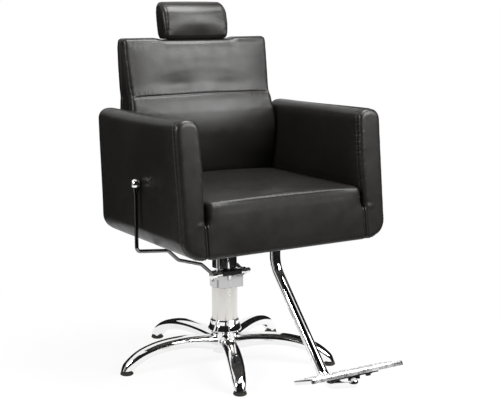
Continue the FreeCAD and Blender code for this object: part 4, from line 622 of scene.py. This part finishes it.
def blown_up(piece, held):
    """Points of the cover after some frames of cloth under inner pressure, without gravity. The held weights
    keep the sewn edges where they are."""
    scene = bpy.context.scene
    edges = piece.vertex_groups.new(name="sewn_edges")
    for level in (0.25, 0.5, 0.75, 1.0):
        chosen = np.nonzero((held > level - 0.25) & (held <= level))[0]
        edges.add(chosen.tolist(), level, "REPLACE")
    cloth = piece.modifiers.new("Stuffing", "CLOTH")
    cloth.settings.quality = 5
    cloth.settings.vertex_group_mass = edges.name
    cloth.settings.use_pressure = True
    cloth.settings.uniform_pressure_force = sizes().pressure
    cloth.settings.effector_weights.gravity = 0.0
    cloth.point_cache.frame_start = 1
    cloth.point_cache.frame_end = CLOTH_FRAMES
    for number in range(1, CLOTH_FRAMES + 1):
        scene.frame_set(number)
    graph = bpy.context.evaluated_depsgraph_get()
    points = points_of(piece.evaluated_get(graph).data).copy()
    piece.modifiers.remove(cloth)
    piece.vertex_groups.remove(edges)
    scene.frame_set(1)
    return points


def closest(points, others):
    """For each point, which of the others is nearest and how far off it is, worked out block by block."""
    which = np.empty(len(points), int)
    gap = np.empty(len(points))
    blocks = max(1, len(points) * len(others) // PAIRS_AT_ONCE)
    for part in np.array_split(np.arange(len(points)), blocks):
        away = np.linalg.norm(points[part, None, :] - others[None], axis=2)
        which[part] = away.argmin(axis=1)
        gap[part] = away.min(axis=1)
    return which, gap


def near_route(points, route, margin):
    """Which points lie in the route's box, grown by the margin."""
    return ((points > route.min(axis=0) - margin) & (points < route.max(axis=0) + margin)).all(axis=1)


def sewn(piece, route, depth, width, pucker, reach, pitch, rounds=2):
    """A seam laid on a cover and pressed into it, with sizes in millimetres. With d the distance from the
    route and s the length along it, a point moves along its normal by -depth * exp(-(d / width)^2) +
    pucker * wave(s / pitch) * exp(-((d - reach) / reach)^2), where the wave mixes two sines that never quite
    repeat."""
    depth, width, pucker, reach, pitch = np.array((depth, width, pucker, reach, pitch)) * MM
    route, _ = laid_on(piece, route, rounds)
    mesh = piece.data
    points = points_of(mesh)
    near = np.nonzero(near_route(points, route, 3 * reach))[0]
    which, gap = closest(points[near], route)
    turn = 2 * math.pi * lengths_along(route)[which] / pitch
    wave = 0.6 * np.sin(turn + 1.3 * np.sin(turn * 0.37)) + 0.4 * np.sin(turn * 1.71 + 0.8)
    move = pucker * wave * np.exp(-(((gap - reach) / reach) ** 2)) - depth * np.exp(-((gap / width) ** 2))
    points[near] += normals_of(mesh)[near] * move[:, None]
    set_points(mesh, points)
    return route


def moulded(piece, *hollows):
    """Soft hollows and swellings. Each is a middle, its reach along X, Y and Z and a height, in millimetres.
    A point moves along its normal by height * exp(-(x^2 + y^2 + z^2)), with x, y and z counted in reaches."""
    mesh = piece.data
    points = points_of(mesh)
    move = np.zeros(len(points))
    for middle, reach, height in hollows:
        away = (points - np.array(middle) * MM) / (np.array(reach) * MM)
        move += height * MM * np.exp(-(away**2).sum(axis=1))
    set_points(mesh, points + normals_of(mesh) * move[:, None])


def ramp(values, start, end):
    """Zero up to the start, one from the end on, and 3 t^2 - 2 t^3 between."""
    t = np.clip((values - start * MM) / ((end - start) * MM), 0.0, 1.0)
    return t * t * (3 - 2 * t)


def laid_on(piece, route, rounds):
    """The route moved onto the cover, and the way out at each spot: a spot drops onto the tangent plane of
    the nearest point."""
    points = points_of(piece.data)
    near = near_route(points, route, 40 * MM)
    points = points[near]
    normals = normals_of(piece.data)[near]
    for _ in range(rounds):
        nearest = closest(route, points)[0]
        outward = normals[nearest]
        drop = ((route - points[nearest]) * outward).sum(axis=1)
        route = route - outward * drop[:, None]
    return route, outward


def stitch_shell(route, outward, radius):
    """A row of stitches, each a small spindle: radius * sqrt(1 - t^4) round an axis along the route."""
    along = np.gradient(route, axis=0)
    reach = np.linalg.norm(along, axis=1).mean() * STITCH_SHARE / 2
    along /= np.linalg.norm(along, axis=1)[:, None]
    side = np.cross(outward, along)
    t = np.array([-0.96, -0.6, 0.6, 0.96])
    angle = np.linspace(0.0, 2 * math.pi, 6, endpoint=False)
    girth = radius * np.sqrt(1 - t**4)[None, :, None, None]
    turn = (
        np.cos(angle)[None, None, :, None] * side[:, None, None, :]
        + np.sin(angle)[None, None, :, None] * outward[:, None, None, :]
    )
    middles = route[:, None, None, :] + t[None, :, None, None] * reach * along[:, None, None, :]
    rings = middles + girth * turn
    poles = rings[:, (0, -1)].mean(axis=2)
    count = len(route)
    points = np.concatenate([rings.reshape(count, -1, 3), poles], axis=1)
    pattern = skin(rings[0])[1]
    step = np.arange(count)[:, None, None] * points.shape[1]
    faces = [(group[None] + step).reshape(-1, group.shape[1]) for group in pattern]
    return points.reshape(-1, 3), faces


def stitches(name, body, slot_name, rows):
    """Rows of stitches on covers, each row a cover and a route on it, made into one piece."""
    radius = sizes().stitch_radius
    shells = []
    for cover, route in rows:
        length = lengths_along(route)[-1]
        spots = resampled(route, int(length / sizes().stitch_pitch))
        spots, outward = laid_on(cover, spots, 1)
        shells.append(stitch_shell(spots + outward * radius * 0.4, outward, radius))
    fitted(mesh_piece(name, shells, finish_of("thread")), body, slot_name)


# Shapes that pieces share


# Height of the arms' lower and upper edges, and Y of their front at the lower edge, in millimetres.
ARM_FOOT = 385.0
ARM_TOP = 729.0
ARM_FRONT = -340.0
FRONT_LEAN = 42.0 / (ARM_TOP - ARM_FOOT)


def front_of_arm(height):
    """Y of the arms' front face, which leans back with height."""
    return ARM_FRONT + (height - ARM_FOOT) * FRONT_LEAN


def arm_face_line(side, inset, behind):
    """Outline of an arm's front face, from the bottom round the outer corner, over the top and down the inner
    edge, laid so far behind the face."""
    low, high = ARM_FOOT + inset, ARM_TOP - inset
    inner_low, inner_top = 242.5 + inset, 251.0 + inset
    outer_low, outer_top = 305.0 - inset, 308.0 - inset
    corner = 50.0 - inset
    crest = (outer_top - inner_top) / 2
    bend = np.linspace(-math.pi / 2, 0.0, 14)[:, None]
    dome = np.linspace(0.0, math.pi, 22)[:, None]
    x, z = np.concatenate([
        ((inner_low + 6, low),),
        np.hstack([outer_low - corner + corner * np.cos(bend), low + corner + corner * np.sin(bend)]),
        np.hstack([outer_top - crest + crest * np.cos(dome), high - crest + crest * np.sin(dome)]),
        ((inner_low, 476.0 + 6.0),),
    ]).T
    return np.stack([side * x, front_of_arm(z) + behind, z], axis=1) * MM


def side_line(piece, levels, side, back):
    """Spots on a cushion's side band, so far back from its front corner, one for each level."""
    points = points_of(piece.data)
    made = []
    for level in levels:
        row = points[np.abs(points[:, 2] - level) < 4 * MM]
        half = (side * row[:, 0]).max()
        edge = row[side * row[:, 0] > half - 5 * MM]
        made.append((side * half, edge[:, 1].min() + back, level))
    return np.array(made)


def hex_bolt(spot, way, radius, height):
    """Washer and six-sided head with a turned-off rim, standing on the spot and pointing along the way."""
    washer = np.array(((0.1, 0.0), (1.46, 0.0), (1.52, 0.06), (1.52, 0.2), (1.44, 0.27), (0.1, 0.27)))
    head = np.array(((0.1, 0.27), (0.96, 0.27), (1.0, 0.32), (1.0, 0.86), (0.88, 1.0), (0.1, 1.0)))
    up = np.array(way) / np.linalg.norm(way)
    aside = np.cross(up, (1.0, 0.0, 0.0) if abs(up[0]) < 0.9 else (0.0, 1.0, 0.0))
    aside /= np.linalg.norm(aside)
    axes = np.stack([aside, np.cross(up, aside), up])
    shells = []
    for profile, count in ((washer, 28), (head, 6)):
        rings = turned_rings(profile * np.array((radius, height)) * MM, count)
        shells.append(skin(rings @ axes + np.array(spot) * MM))
    return shells


# Operators


class CHAIR_OT_star_base(bpy.types.Operator):
    """Five arched legs and the turned hub that carries them"""

    bl_idname = "chair.star_base"
    bl_label = "Star base"
    bl_options = {"REGISTER", "UNDO"}

    # Distance from the axis, height of the middle, half depth and half width, in millimetres.
    LEG = (
        (14.0, 56.0, 22.5, 20.6),
        (45.0, 59.0, 21.0, 21.6),
        (78.0, 64.8, 19.0, 22.2),
        (112.0, 68.5, 17.5, 22.5),
        (146.0, 69.4, 16.8, 22.5),
        (178.0, 67.5, 16.5, 22.5),
        (207.0, 63.2, 16.2, 22.5),
        (231.5, 57.0, 15.9, 22.3),
        (251.0, 50.2, 15.7, 21.8),
        (268.0, 41.5, 15.6, 20.9),
        (281.0, 32.5, 15.5, 19.8),
        (290.8, 24.5, 15.4, 18.4),
        (296.5, 18.6, 15.6, 17.2),
        (300.0, 13.2, 16.0, 16.0),
    )

    # Outline of the hub, distance from the axis and height in millimetres.
    HUB = (
        (2.0, 27.0), (33.0, 27.0), (35.3, 27.8), (36.0, 30.0), (37.2, 60.0), (38.6, 82.0), (39.6, 87.0),
        (42.0, 89.9), (46.4, 91.2), (48.0, 92.9), (48.0, 95.2), (46.9, 98.5), (43.2, 108.6), (42.2, 110.4),
        (40.6, 111.0), (30.4, 111.0), (29.7, 110.0), (29.7, 33.0), (2.0, 33.0),
    )
    LEGS = 5
    FIRST_LEG = -23

    def execute(self, context):
        """A leg is a superellipse carried along its arch, |u / width|^2.5 + |v / depth|^2.5 = 1."""
        line = smooth_line(np.array(self.LEG) * MM, 64)
        slope = np.gradient(line[:, :2], axis=0)
        slope /= np.linalg.norm(slope, axis=1)[:, None]
        slope[-1] = (0.0, -1.0)
        angle = np.linspace(0.0, 2 * math.pi, sizes().ring_points, endpoint=False)
        power = 2 / 2.5
        wide = np.sign(np.cos(angle)) * np.abs(np.cos(angle)) ** power
        deep = np.sign(np.sin(angle)) * np.abs(np.sin(angle)) ** power
        out = line[:, :1] - slope[:, 1:] * line[:, 2:3] * deep
        up = line[:, 1:2] + slope[:, :1] * line[:, 2:3] * deep
        aside = line[:, 3:4] * wide
        shells = [skin(turned_rings(np.array(self.HUB) * MM, 96))]
        for number in range(self.LEGS):
            way = math.radians(self.FIRST_LEG + 360 // self.LEGS * number)
            x = out * math.sin(way) + aside * math.cos(way)
            y = -out * math.cos(way) + aside * math.sin(way)
            shells.append(skin(np.stack([x, y, up], axis=2)))
        piece = mesh_piece("base_casting", shells, finish_of("chrome"))
        fitted(piece, "base", "base_chrome", "star_base")
        return {"FINISHED"}


class CHAIR_OT_hand_lever(bpy.types.Operator):
    """Cranked rod of the pump lever"""

    bl_idname = "chair.hand_lever"
    bl_label = "Hand lever"
    bl_options = {"REGISTER", "UNDO"}

    # Degrees from the sitter's right towards the front.
    DIRECTION = 15.6

    def execute(self, context):
        """A circle carried along a route with rounded corners, which lies in one upright plane."""
        way = math.radians(self.DIRECTION)
        reach = np.array((0.0, 47.5, 134.8, 172.0, 282.4, 282.4))
        height = np.array((264.0, 303.0, 330.0, 362.0, 378.0, 532.5))
        spots = np.stack([-57 - reach * math.cos(way), -36 - reach * math.sin(way), height], axis=1)
        route = rounded_route(spots * MM, np.array((24, 24, 24, 14)) * MM, 1.5 * MM)
        rings = tube_rings(route, 5 * MM, (math.sin(way), -math.cos(way), 0.0), 32)
        # Painted shade: the rod's chrome is darkened nearly to black, for the dark reflections along it.
        piece = mesh_piece("lever_bar", [skin(rings)], finish_of("black_chrome"))
        fitted(piece, "lever", "lever_chrome", "lever_rod")
        return {"FINISHED"}


class CHAIR_OT_seat_covers(bpy.types.Operator):
    """Seat cushion and the two upholstered arms"""

    bl_idname = "chair.seat_covers"
    bl_label = "Seat and arms"
    bl_options = {"REGISTER", "UNDO"}

    def execute(self, context):
        arms = ("arm_pad_left", "arm_pad_right")
        neighbours = (*arms, "back_lower_cushion")
        seat = stuffed("seat_cover", ("seat_cushion",), 6, 1.0, ("seat_board",), neighbours)
        brim = np.linspace((-226.0, -321.0, 529.0), (226.0, -321.0, 529.0), 300) * MM
        sewn(seat, brim, -1.1, 3.0, 0.3, 6, 12)
        fitted(seat, "seat", "seat_leather", "seat_cushion")
        neighbours = ("seat_cushion", "back_lower_cushion")
        rows = []
        for label, side in (("right", -1), ("left", 1)):
            pad = f"arm_pad_{label}"
            arm = stuffed(f"arm_cover_{label}", (pad,), 5, 0.6, ("seat_board",), neighbours)
            self.fuller(arm, side)
            sewn(arm, resampled(arm_face_line(side, -3.0, 16.0), 500), 1.3, 2.3, 0.75, 5.5, 9.5)
            moulded(
                arm,
                ((side * 248, -327, 486), (9, 12, 7), -1.6),
                ((side * 262, -329, 474), (9, 12, 6), 0.9),
                ((side * 308, -120, 560), (14, 150, 90), 1.4),
            )
            rows.append((arm, resampled(arm_face_line(side, -3.0, 19.5), 700)))
            fitted(arm, "seat", "seat_leather", pad)
        stitches("seat_stitches", "seat", "seat_leather", rows)
        self.welts()
        return {"FINISHED"}

    @staticmethod
    def welts():
        """Thin cords in the two seams beside the front panel, two to a seam: a circle carried down the
        leaning face, whose radius falls off as the root of 1 - t^8 towards both ends."""
        seam, apart, girth = 242.4, 4.2, 4.3
        height = np.linspace(391.0, 473.0, 40)
        radius = girth * MM * np.sqrt(np.clip(1 - np.linspace(-1, 1, 40) ** 8, 0.02, 1))
        shells = []
        for side in (-1, 1):
            for shift in (-apart, apart):
                x = np.full(40, side * seam + shift)
                route = np.stack([x, front_of_arm(height) + 4.4, height], axis=1) * MM
                shells.append(skin(tube_rings(route, radius, (1.0, 0.0, 0.0), 20)))
        fitted(mesh_piece("seat_welts", shells, finish_of("leather")), "seat", "seat_leather")

    @staticmethod
    def fuller(arm, side):
        """The filling spreads an arm's sides, the inner one only above the seat, and the outer one less on
        the right, for the lever's knob. The rear leans back with height, and the top rises towards the
        front."""
        points = points_of(arm.data)
        apart = np.tanh((side * points[:, 0] - 279 * MM) / (12 * MM))
        inner = 4.0 * ramp(points[:, 2], 485, 620) * (1 + 1.2 * ramp(-points[:, 1], 140, 280))
        points[:, 0] += side * apart * np.where(apart > 0, 5.2 + 1.3 * side, inner) * MM
        points[:, 2] += 4.5 * MM * ramp(points[:, 2], 600, 729) * ramp(-points[:, 1], -100, 300)
        points[:, 1] += 9 * MM * ramp(points[:, 2], 450, 729) * ramp(points[:, 1], 40, 150)
        set_points(arm.data, points)


class CHAIR_OT_back_covers(bpy.types.Operator):
    """Front and rear covers of the back, with the seam across it and the bands along its sides"""

    bl_idname = "chair.back_covers"
    bl_label = "Backrest"
    bl_options = {"REGISTER", "UNDO"}

    def execute(self, context):
        cushions = ("back_lower_cushion", "back_upper_cushion")
        neighbours = ("seat_cushion", "arm_pad_left", "arm_pad_right", "headrest_pad", "back_rear_panel")
        front = stuffed("back_cover_front", cushions, 5, 1.0, ("back_board",), neighbours)
        self.fuller(front)
        moulded(
            front,
            ((0, 95, 625), (210, 40, 90), 12.5),
            ((-78, 108, 784), (64, 60, 26), -4.0),
            ((82, 108, 781), (62, 60, 24), -2.3),
            ((0, 108, 772), (20, 60, 12), 0.6),
        )
        levels = np.linspace(503.0, 893.0, 60) * MM
        bands = []
        for side in (-1, 1):
            band = side_line(front, levels, side, 13 * MM)
            bands.append(band)
            sewn(front, resampled(band, 320), -1.4, 2.4, 0.35, 6, 11, 1)
        across = np.linspace((-214.0, 108.0, 757.0), (214.0, 108.0, 757.0), 360) * MM
        sewn(front, across, 2.9, 3.2, 0.25, 7, 13)
        rim = np.linspace((-205.0, 116.0, 908.0), (205.0, 116.0, 908.0), 300) * MM
        sewn(front, rim, -0.6, 2.4, 0.12, 6, 12)
        fitted(front, "back", "back_leather", "back_lower_cushion", "back_upper_cushion")
        behind = ("back_board", "headrest_guide", "back_crank", "back_hinge_left", "back_hinge_right")
        rear = stuffed("back_cover_rear", ("back_rear_panel",), 5, 0.6, behind, cushions)
        self.fuller(rear)
        fitted(rear, "back", "back_leather", "back_rear_panel")
        rows = [(front, across + np.array((0.0, 0.0, shift)) * MM) for shift in (4.6, -4.6)]
        rows += [(front, band + np.array((0.0, 3.5, 0.0)) * MM) for band in bands]
        stitches("back_stitches", "back", "back_leather", rows)
        return {"FINISHED"}

    @staticmethod
    def fuller(cover):
        """The filling spreads the back's sides, more above the seat, and its top beside the headrest."""
        points = points_of(cover.data)
        x, z = points[:, 0].copy(), points[:, 2]
        points[:, 0] += np.tanh(x / (90 * MM)) * (2.5 + 4.5 * ramp(z, 530, 640)) * MM
        points[:, 2] += 5.0 * MM * ramp(z, 850, 905) * ramp(np.abs(x), 98, 130)
        set_points(cover.data, points)


class CHAIR_OT_headrest(bpy.types.Operator):
    """Bolster of the headrest, with a sewn-in panel at each end"""

    bl_idname = "chair.headrest"
    bl_label = "Headrest"
    bl_options = {"REGISTER", "UNDO"}

    def execute(self, context):
        cover = stuffed(
            "headrest_cover", ("headrest_pad",), 4, 0.5, ("headrest_stem",), ("back_upper_cushion",)
        )
        moulded(cover, ((0, 143, 980), (110, 36, 45), 12.0))
        angle = np.linspace(0.0, 2 * math.pi, 260)
        y = 179 + 33 * np.cos(angle)
        z = 962 + 50 * np.sin(angle)
        rows = []
        for side in (-1, 1):
            ring = np.stack([np.full(260, side * 94.0), y, z], axis=1) * MM
            line = sewn(cover, ring, 1.0, 2.2, 0.35, 5, 9, 3)
            rows.append((cover, line + np.array((-side * 3.5, 0.0, 0.0)) * MM))
        fitted(cover, "headrest", "head_leather", "headrest_pad")
        stitches("headrest_stitches", "headrest", "head_leather", rows)
        return {"FINISHED"}


class CHAIR_OT_fasteners(bpy.types.Operator):
    """Bolts under the seat and under the foot plate"""

    bl_idname = "chair.fasteners"
    bl_label = "Fasteners"
    bl_options = {"REGISTER", "UNDO"}

    # Distance of the mounting plate's bolts from its edges, and half width and height of a bolt's head.
    INSET = 16
    BOLT = (6.5, 6.0)
    DOWN = (0.0, 0.0, -1.0)
    # The foot plate's tilt in degrees, the spot where the footrest tube ends under it, and half the way
    # between its bolts.
    TILT = 19
    TOE = (0.0, -607.0, 109.33)
    TREAD_BOLTS = 54.0

    def execute(self, context):
        low, high = corners("mounting_plate") / np.array(MM)
        shells = []
        for x in (low[0] + self.INSET, high[0] - self.INSET):
            for y in (low[1] + self.INSET, high[1] - self.INSET):
                shells += hex_bolt((x, y, low[2]), self.DOWN, *self.BOLT)
        fitted(mesh_piece("plate_bolts", shells, finish_of("zinc"), 25.0), "seat", "pin_steel")
        tilt = math.radians(self.TILT)
        forward = np.array((0.0, -math.cos(tilt), math.sin(tilt)))
        up = np.array((0.0, math.sin(tilt), math.cos(tilt)))
        shells = []
        for x in (-self.TREAD_BOLTS, self.TREAD_BOLTS):
            spot = np.array(self.TOE) - forward * 7 + up * 14 + np.array((x, 0.0, 0.0))
            shells += hex_bolt(spot, -up, *self.BOLT)
        fitted(mesh_piece("tread_bolts", shells, finish_of("black_coat"), 25.0), "seat", "bracket_black")
        return {"FINISHED"}


class CHAIR_OT_finishes(bpy.types.Operator):
    """Finishes of the pieces that keep the engineering model's shape"""

    bl_idname = "chair.finishes"
    bl_label = "Finishes"
    bl_options = {"REGISTER", "UNDO"}

    SLOTS = {
        "chrome": ("base_chrome", "lever_chrome", "rod_chrome", "footrest_chrome", "stem_chrome"),
        # Painted shade: the pump head's chrome is darkened to grey.
        "grey_chrome": ("head_chrome",),
        # Painted shade: the neck sleeve's chrome is darkened by half.
        "chrome_with_painted_dark_shade": ("neck_chrome",),
        "satin": ("column_satin",),
        "tread": ("tread_steel",),
        "steel": ("pump_steel",),
        "bronze": ("bush_bronze",),
        "zinc": ("pin_steel",),
        "rubber": ("glide_rubber",),
        "black_plastic": ("housing_black",),
        "black_coat": ("bracket_black", "spring_black", "release_black", "guide_steel"),
        "plywood": ("board_wood",),
        "leather": ("seat_leather", "back_leather", "head_leather"),
        "nylon": ("liner_nylon",),
    }
    # Painted shade: the knob's ferrule takes chrome darkened nearly to black.
    NODES = {"foot_plate": "soft_chrome", "knob_ferrule": "black_chrome"}

    def execute(self, context):
        finishes = {slot: name for name, slots in self.SLOTS.items() for slot in slots}
        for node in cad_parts.values():
            for held in node.material_slots:
                slot = held.material.name.split(".")[0]
                if slot in finishes:
                    held.material = finish_of(finishes[slot])
        for node, name in self.NODES.items():
            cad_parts[node].material_slots[0].material = finish_of(name)
        return {"FINISHED"}


class CHAIR_OT_stage(bpy.types.Operator):
    """Floor, soft lights, dark screens and the camera"""

    bl_idname = "chair.stage"
    bl_label = "Stage"
    bl_options = {"REGISTER", "UNDO"}

    # Place, target, width and height in metres, and power in watts.
    LAMPS = (
        ("soft_overhead", (0.6, -0.5, 2.6), (0.0, 0.0, 0.5), (1.3, 1.0), 82.0),
        ("soft_front_right", (1.08, -1.8, 1.75), (0.0, 0.0, 1.15), (1.4, 1.2), 72.0),
        ("soft_left", (-2.05, -0.3, 1.65), (0.0, 0.0, 0.6), (0.5, 0.8), 30.0),
    )

    # First and last direction from the chair in degrees from +X, start on the floor and top edge in metres.
    SCREENS = (
        ("screen_back", 64.0, 158.0, 1.05, 1.5),
        ("screen_right", -34.0, 50.0, 1.05, 5.4),
        ("screen_below_lamp", -64.0, -34.0, 1.05, 1.15),
        ("screen_front", -170.0, -64.0, 1.1, 5.4),
        ("screen_left", 170.0, 186.0, 1.05, 5.4),
    )
    SCREEN_DISTANCE = 2.4
    SCREEN_LIFT = 0.004

    # Radius in metres, share of the floor that stays white beside the chair, and where it starts and stops
    # growing to all of it.
    FLOOR_RADIUS = 9.0
    FLOOR_WHITE_SHARE = 0.87
    FLOOR_FADE = (0.3, 1.1)

    CAMERA = (-1.565, -2.652, 1.0085)
    CAMERA_TARGET = (0.0616, -0.0384, 0.4657)
    LENS = 80.06

    def execute(self, context):
        scene = context.scene
        scene.view_settings.view_transform = "Standard"
        self.floor()
        self.world(scene)
        self.lamps()
        self.screens()
        self.camera(scene)
        return {"FINISHED"}

    @staticmethod
    def seen_directly(tree):
        """One for camera, glossy and transmission rays, zero for the others: the greatest of the three."""
        rays = added(tree, "ShaderNodeLightPath").outputs
        greatest = rays["Is Camera Ray"]
        for name in ("Is Glossy Ray", "Is Transmission Ray"):
            pair = {0: greatest, 1: rays[name]}
            greatest = added(tree, "ShaderNodeMath", pair, operation="MAXIMUM").outputs[0]
        return greatest

    @staticmethod
    def aimed(thing, spot, target):
        """Puts a lamp or camera on a spot and turns it to a target."""
        thing.location = spot
        thing.rotation_euler = (Vector(target) - Vector(spot)).to_track_quat("-Z", "Y").to_euler()

    def floor(self):
        """Flat disc, whose rings grow with the square of their number. It is mostly plain white, and takes a
        faint shadow near the chair."""
        ring = np.linspace(0.0, 1.0, 24)[1:, None] ** 2 * self.FLOOR_RADIUS
        angle = np.linspace(0.0, 2 * math.pi, 72, endpoint=False)
        x = ring * np.cos(angle)
        y = ring * np.sin(angle)
        points, (quads, middle, _) = skin(np.stack([x, y, np.zeros_like(x)], axis=2))
        mesh = bpy.data.meshes.new("studio_floor")
        mesh.from_pydata(points[:-1], [], quads[:, ::-1].tolist() + middle[:, ::-1].tolist())
        mesh.update()
        finish = Finish("studio_floor")
        far = finish.add("ShaderNodeVectorMath", {0: finish.place}, operation="LENGTH").outputs["Value"]
        fade = finish.between(far, self.FLOOR_WHITE_SHARE, 1.0, *self.FLOOR_FADE)
        values = {0: self.seen_directly(finish.tree), 1: fade}
        share = finish.add("ShaderNodeMath", values, operation="MULTIPLY").outputs[0]
        paint = finish.add("ShaderNodeBsdfDiffuse", {"Color": (0.9, 0.9, 0.9, 1.0)}).outputs[0]
        glow = finish.add("ShaderNodeEmission").outputs[0]
        mix = finish.add("ShaderNodeMixShader", {0: share, 1: paint, 2: glow}).outputs[0]
        finish.tree.links.new(mix, finish.tree.nodes["Material Output"].inputs["Surface"])
        finish.tree.nodes.remove(finish.shader)
        mesh.materials.append(finish.material)
        floor = placed("studio_floor", mesh)

    def world(self, scene):
        """White to the camera and in the metal, and a plain even light on everything else."""
        world = bpy.data.worlds.new("studio")
        scene.world = world
        world.use_nodes = True
        tree = world.node_tree
        back = tree.nodes["Background"]
        back.inputs["Color"].default_value = (1.0, 1.0, 1.0, 1.0)
        values = {"Value": self.seen_directly(tree), "To Min": 0.4, "To Max": 1.0}
        level = added(tree, "ShaderNodeMapRange", values)
        tree.links.new(level.outputs["Result"], back.inputs["Strength"])

    def lamps(self):
        for name, spot, target, span, power in self.LAMPS:
            light = bpy.data.lights.new(name, "AREA")
            light.shape = "RECTANGLE"
            light.size, light.size_y = span
            light.energy = power
            self.aimed(placed(name, light), spot, target)

    def screens(self):
        """Black curved screens that only reflections see, for the dark bands in the chrome: a bent profile,
        out along the floor and then up, carried round the chair by an angle."""
        black = (0.008, 0.008, 0.008, 1.0)
        material = Finish("screen_black").made(Base_Color=black, Roughness=1.0, Specular_IOR_Level=0.0)
        row, column = np.meshgrid(np.arange(15), np.arange(2), indexing="ij")
        here = row * 3 + column
        quads = np.stack([here, here + 1, here + 4, here + 3], axis=-1).reshape(-1, 4).tolist()
        for name, first, last, start, top in self.SCREENS:
            angle = np.radians(np.linspace(first, last, 16))[:, None]
            out = np.array([start, self.SCREEN_DISTANCE, self.SCREEN_DISTANCE])
            up = np.array([self.SCREEN_LIFT, self.SCREEN_LIFT, top])
            points = np.stack([out * np.cos(angle), out * np.sin(angle), up + 0 * angle], axis=2)
            mesh = bpy.data.meshes.new(name)
            mesh.from_pydata(points.reshape(-1, 3), [], quads)
            mesh.materials.append(material)
            screen = placed(name, mesh)
            screen.visible_camera = False
            screen.visible_diffuse = False
            screen.visible_shadow = False

    def camera(self, scene):
        """The photograph's place: 32 degrees to the sitter's right of the front, ten up, with a long lens."""
        data = bpy.data.cameras.new("camera")
        data.sensor_width = 36.0
        data.lens = self.LENS
        scene.camera = placed("camera", data)
        self.aimed(scene.camera, self.CAMERA, self.CAMERA_TARGET)


class CHAIR_PT_panel(bpy.types.Panel):
    """Sidebar panel with the chair's sizes, colours and pieces"""

    bl_idname = "CHAIR_PT_panel"
    bl_label = "Threading chair"
    bl_space_type = "VIEW_3D"
    bl_region_type = "UI"
    bl_category = "Chair"

    def draw(self, context):
        layout = self.layout
        for group in (context.scene.threading_chair_sizes, context.scene.threading_chair_colours):
            for key in group.bl_rna.properties.keys():
                if key not in ("rna_type", "name"):
                    layout.prop(group, key)
        for piece in PIECES:
            layout.operator(piece.bl_idname)


PIECES = (
    CHAIR_OT_star_base,
    CHAIR_OT_hand_lever,
    CHAIR_OT_seat_covers,
    CHAIR_OT_back_covers,
    CHAIR_OT_headrest,
    CHAIR_OT_fasteners,
    CHAIR_OT_finishes,
    CHAIR_OT_stage,
)
CLASSES = (ChairSizes, ChairColours, *PIECES, CHAIR_PT_panel)


def register():
    for kind in CLASSES:
        bpy.utils.register_class(kind)
    bpy.types.Scene.threading_chair_sizes = PointerProperty(type=ChairSizes)
    bpy.types.Scene.threading_chair_colours = PointerProperty(type=ChairColours)


def unregister():
    del bpy.types.Scene.threading_chair_colours
    del bpy.types.Scene.threading_chair_sizes
    for kind in reversed(CLASSES):
        bpy.utils.unregister_class(kind)


def main():
    register()
    bpy.ops.chair.star_base()
    bpy.ops.chair.hand_lever()
    bpy.ops.chair.seat_covers()
    bpy.ops.chair.back_covers()
    bpy.ops.chair.headrest()
    bpy.ops.chair.fasteners()
    bpy.ops.chair.finishes()
    bpy.ops.chair.stage()


if __name__ == "__main__":
    main()
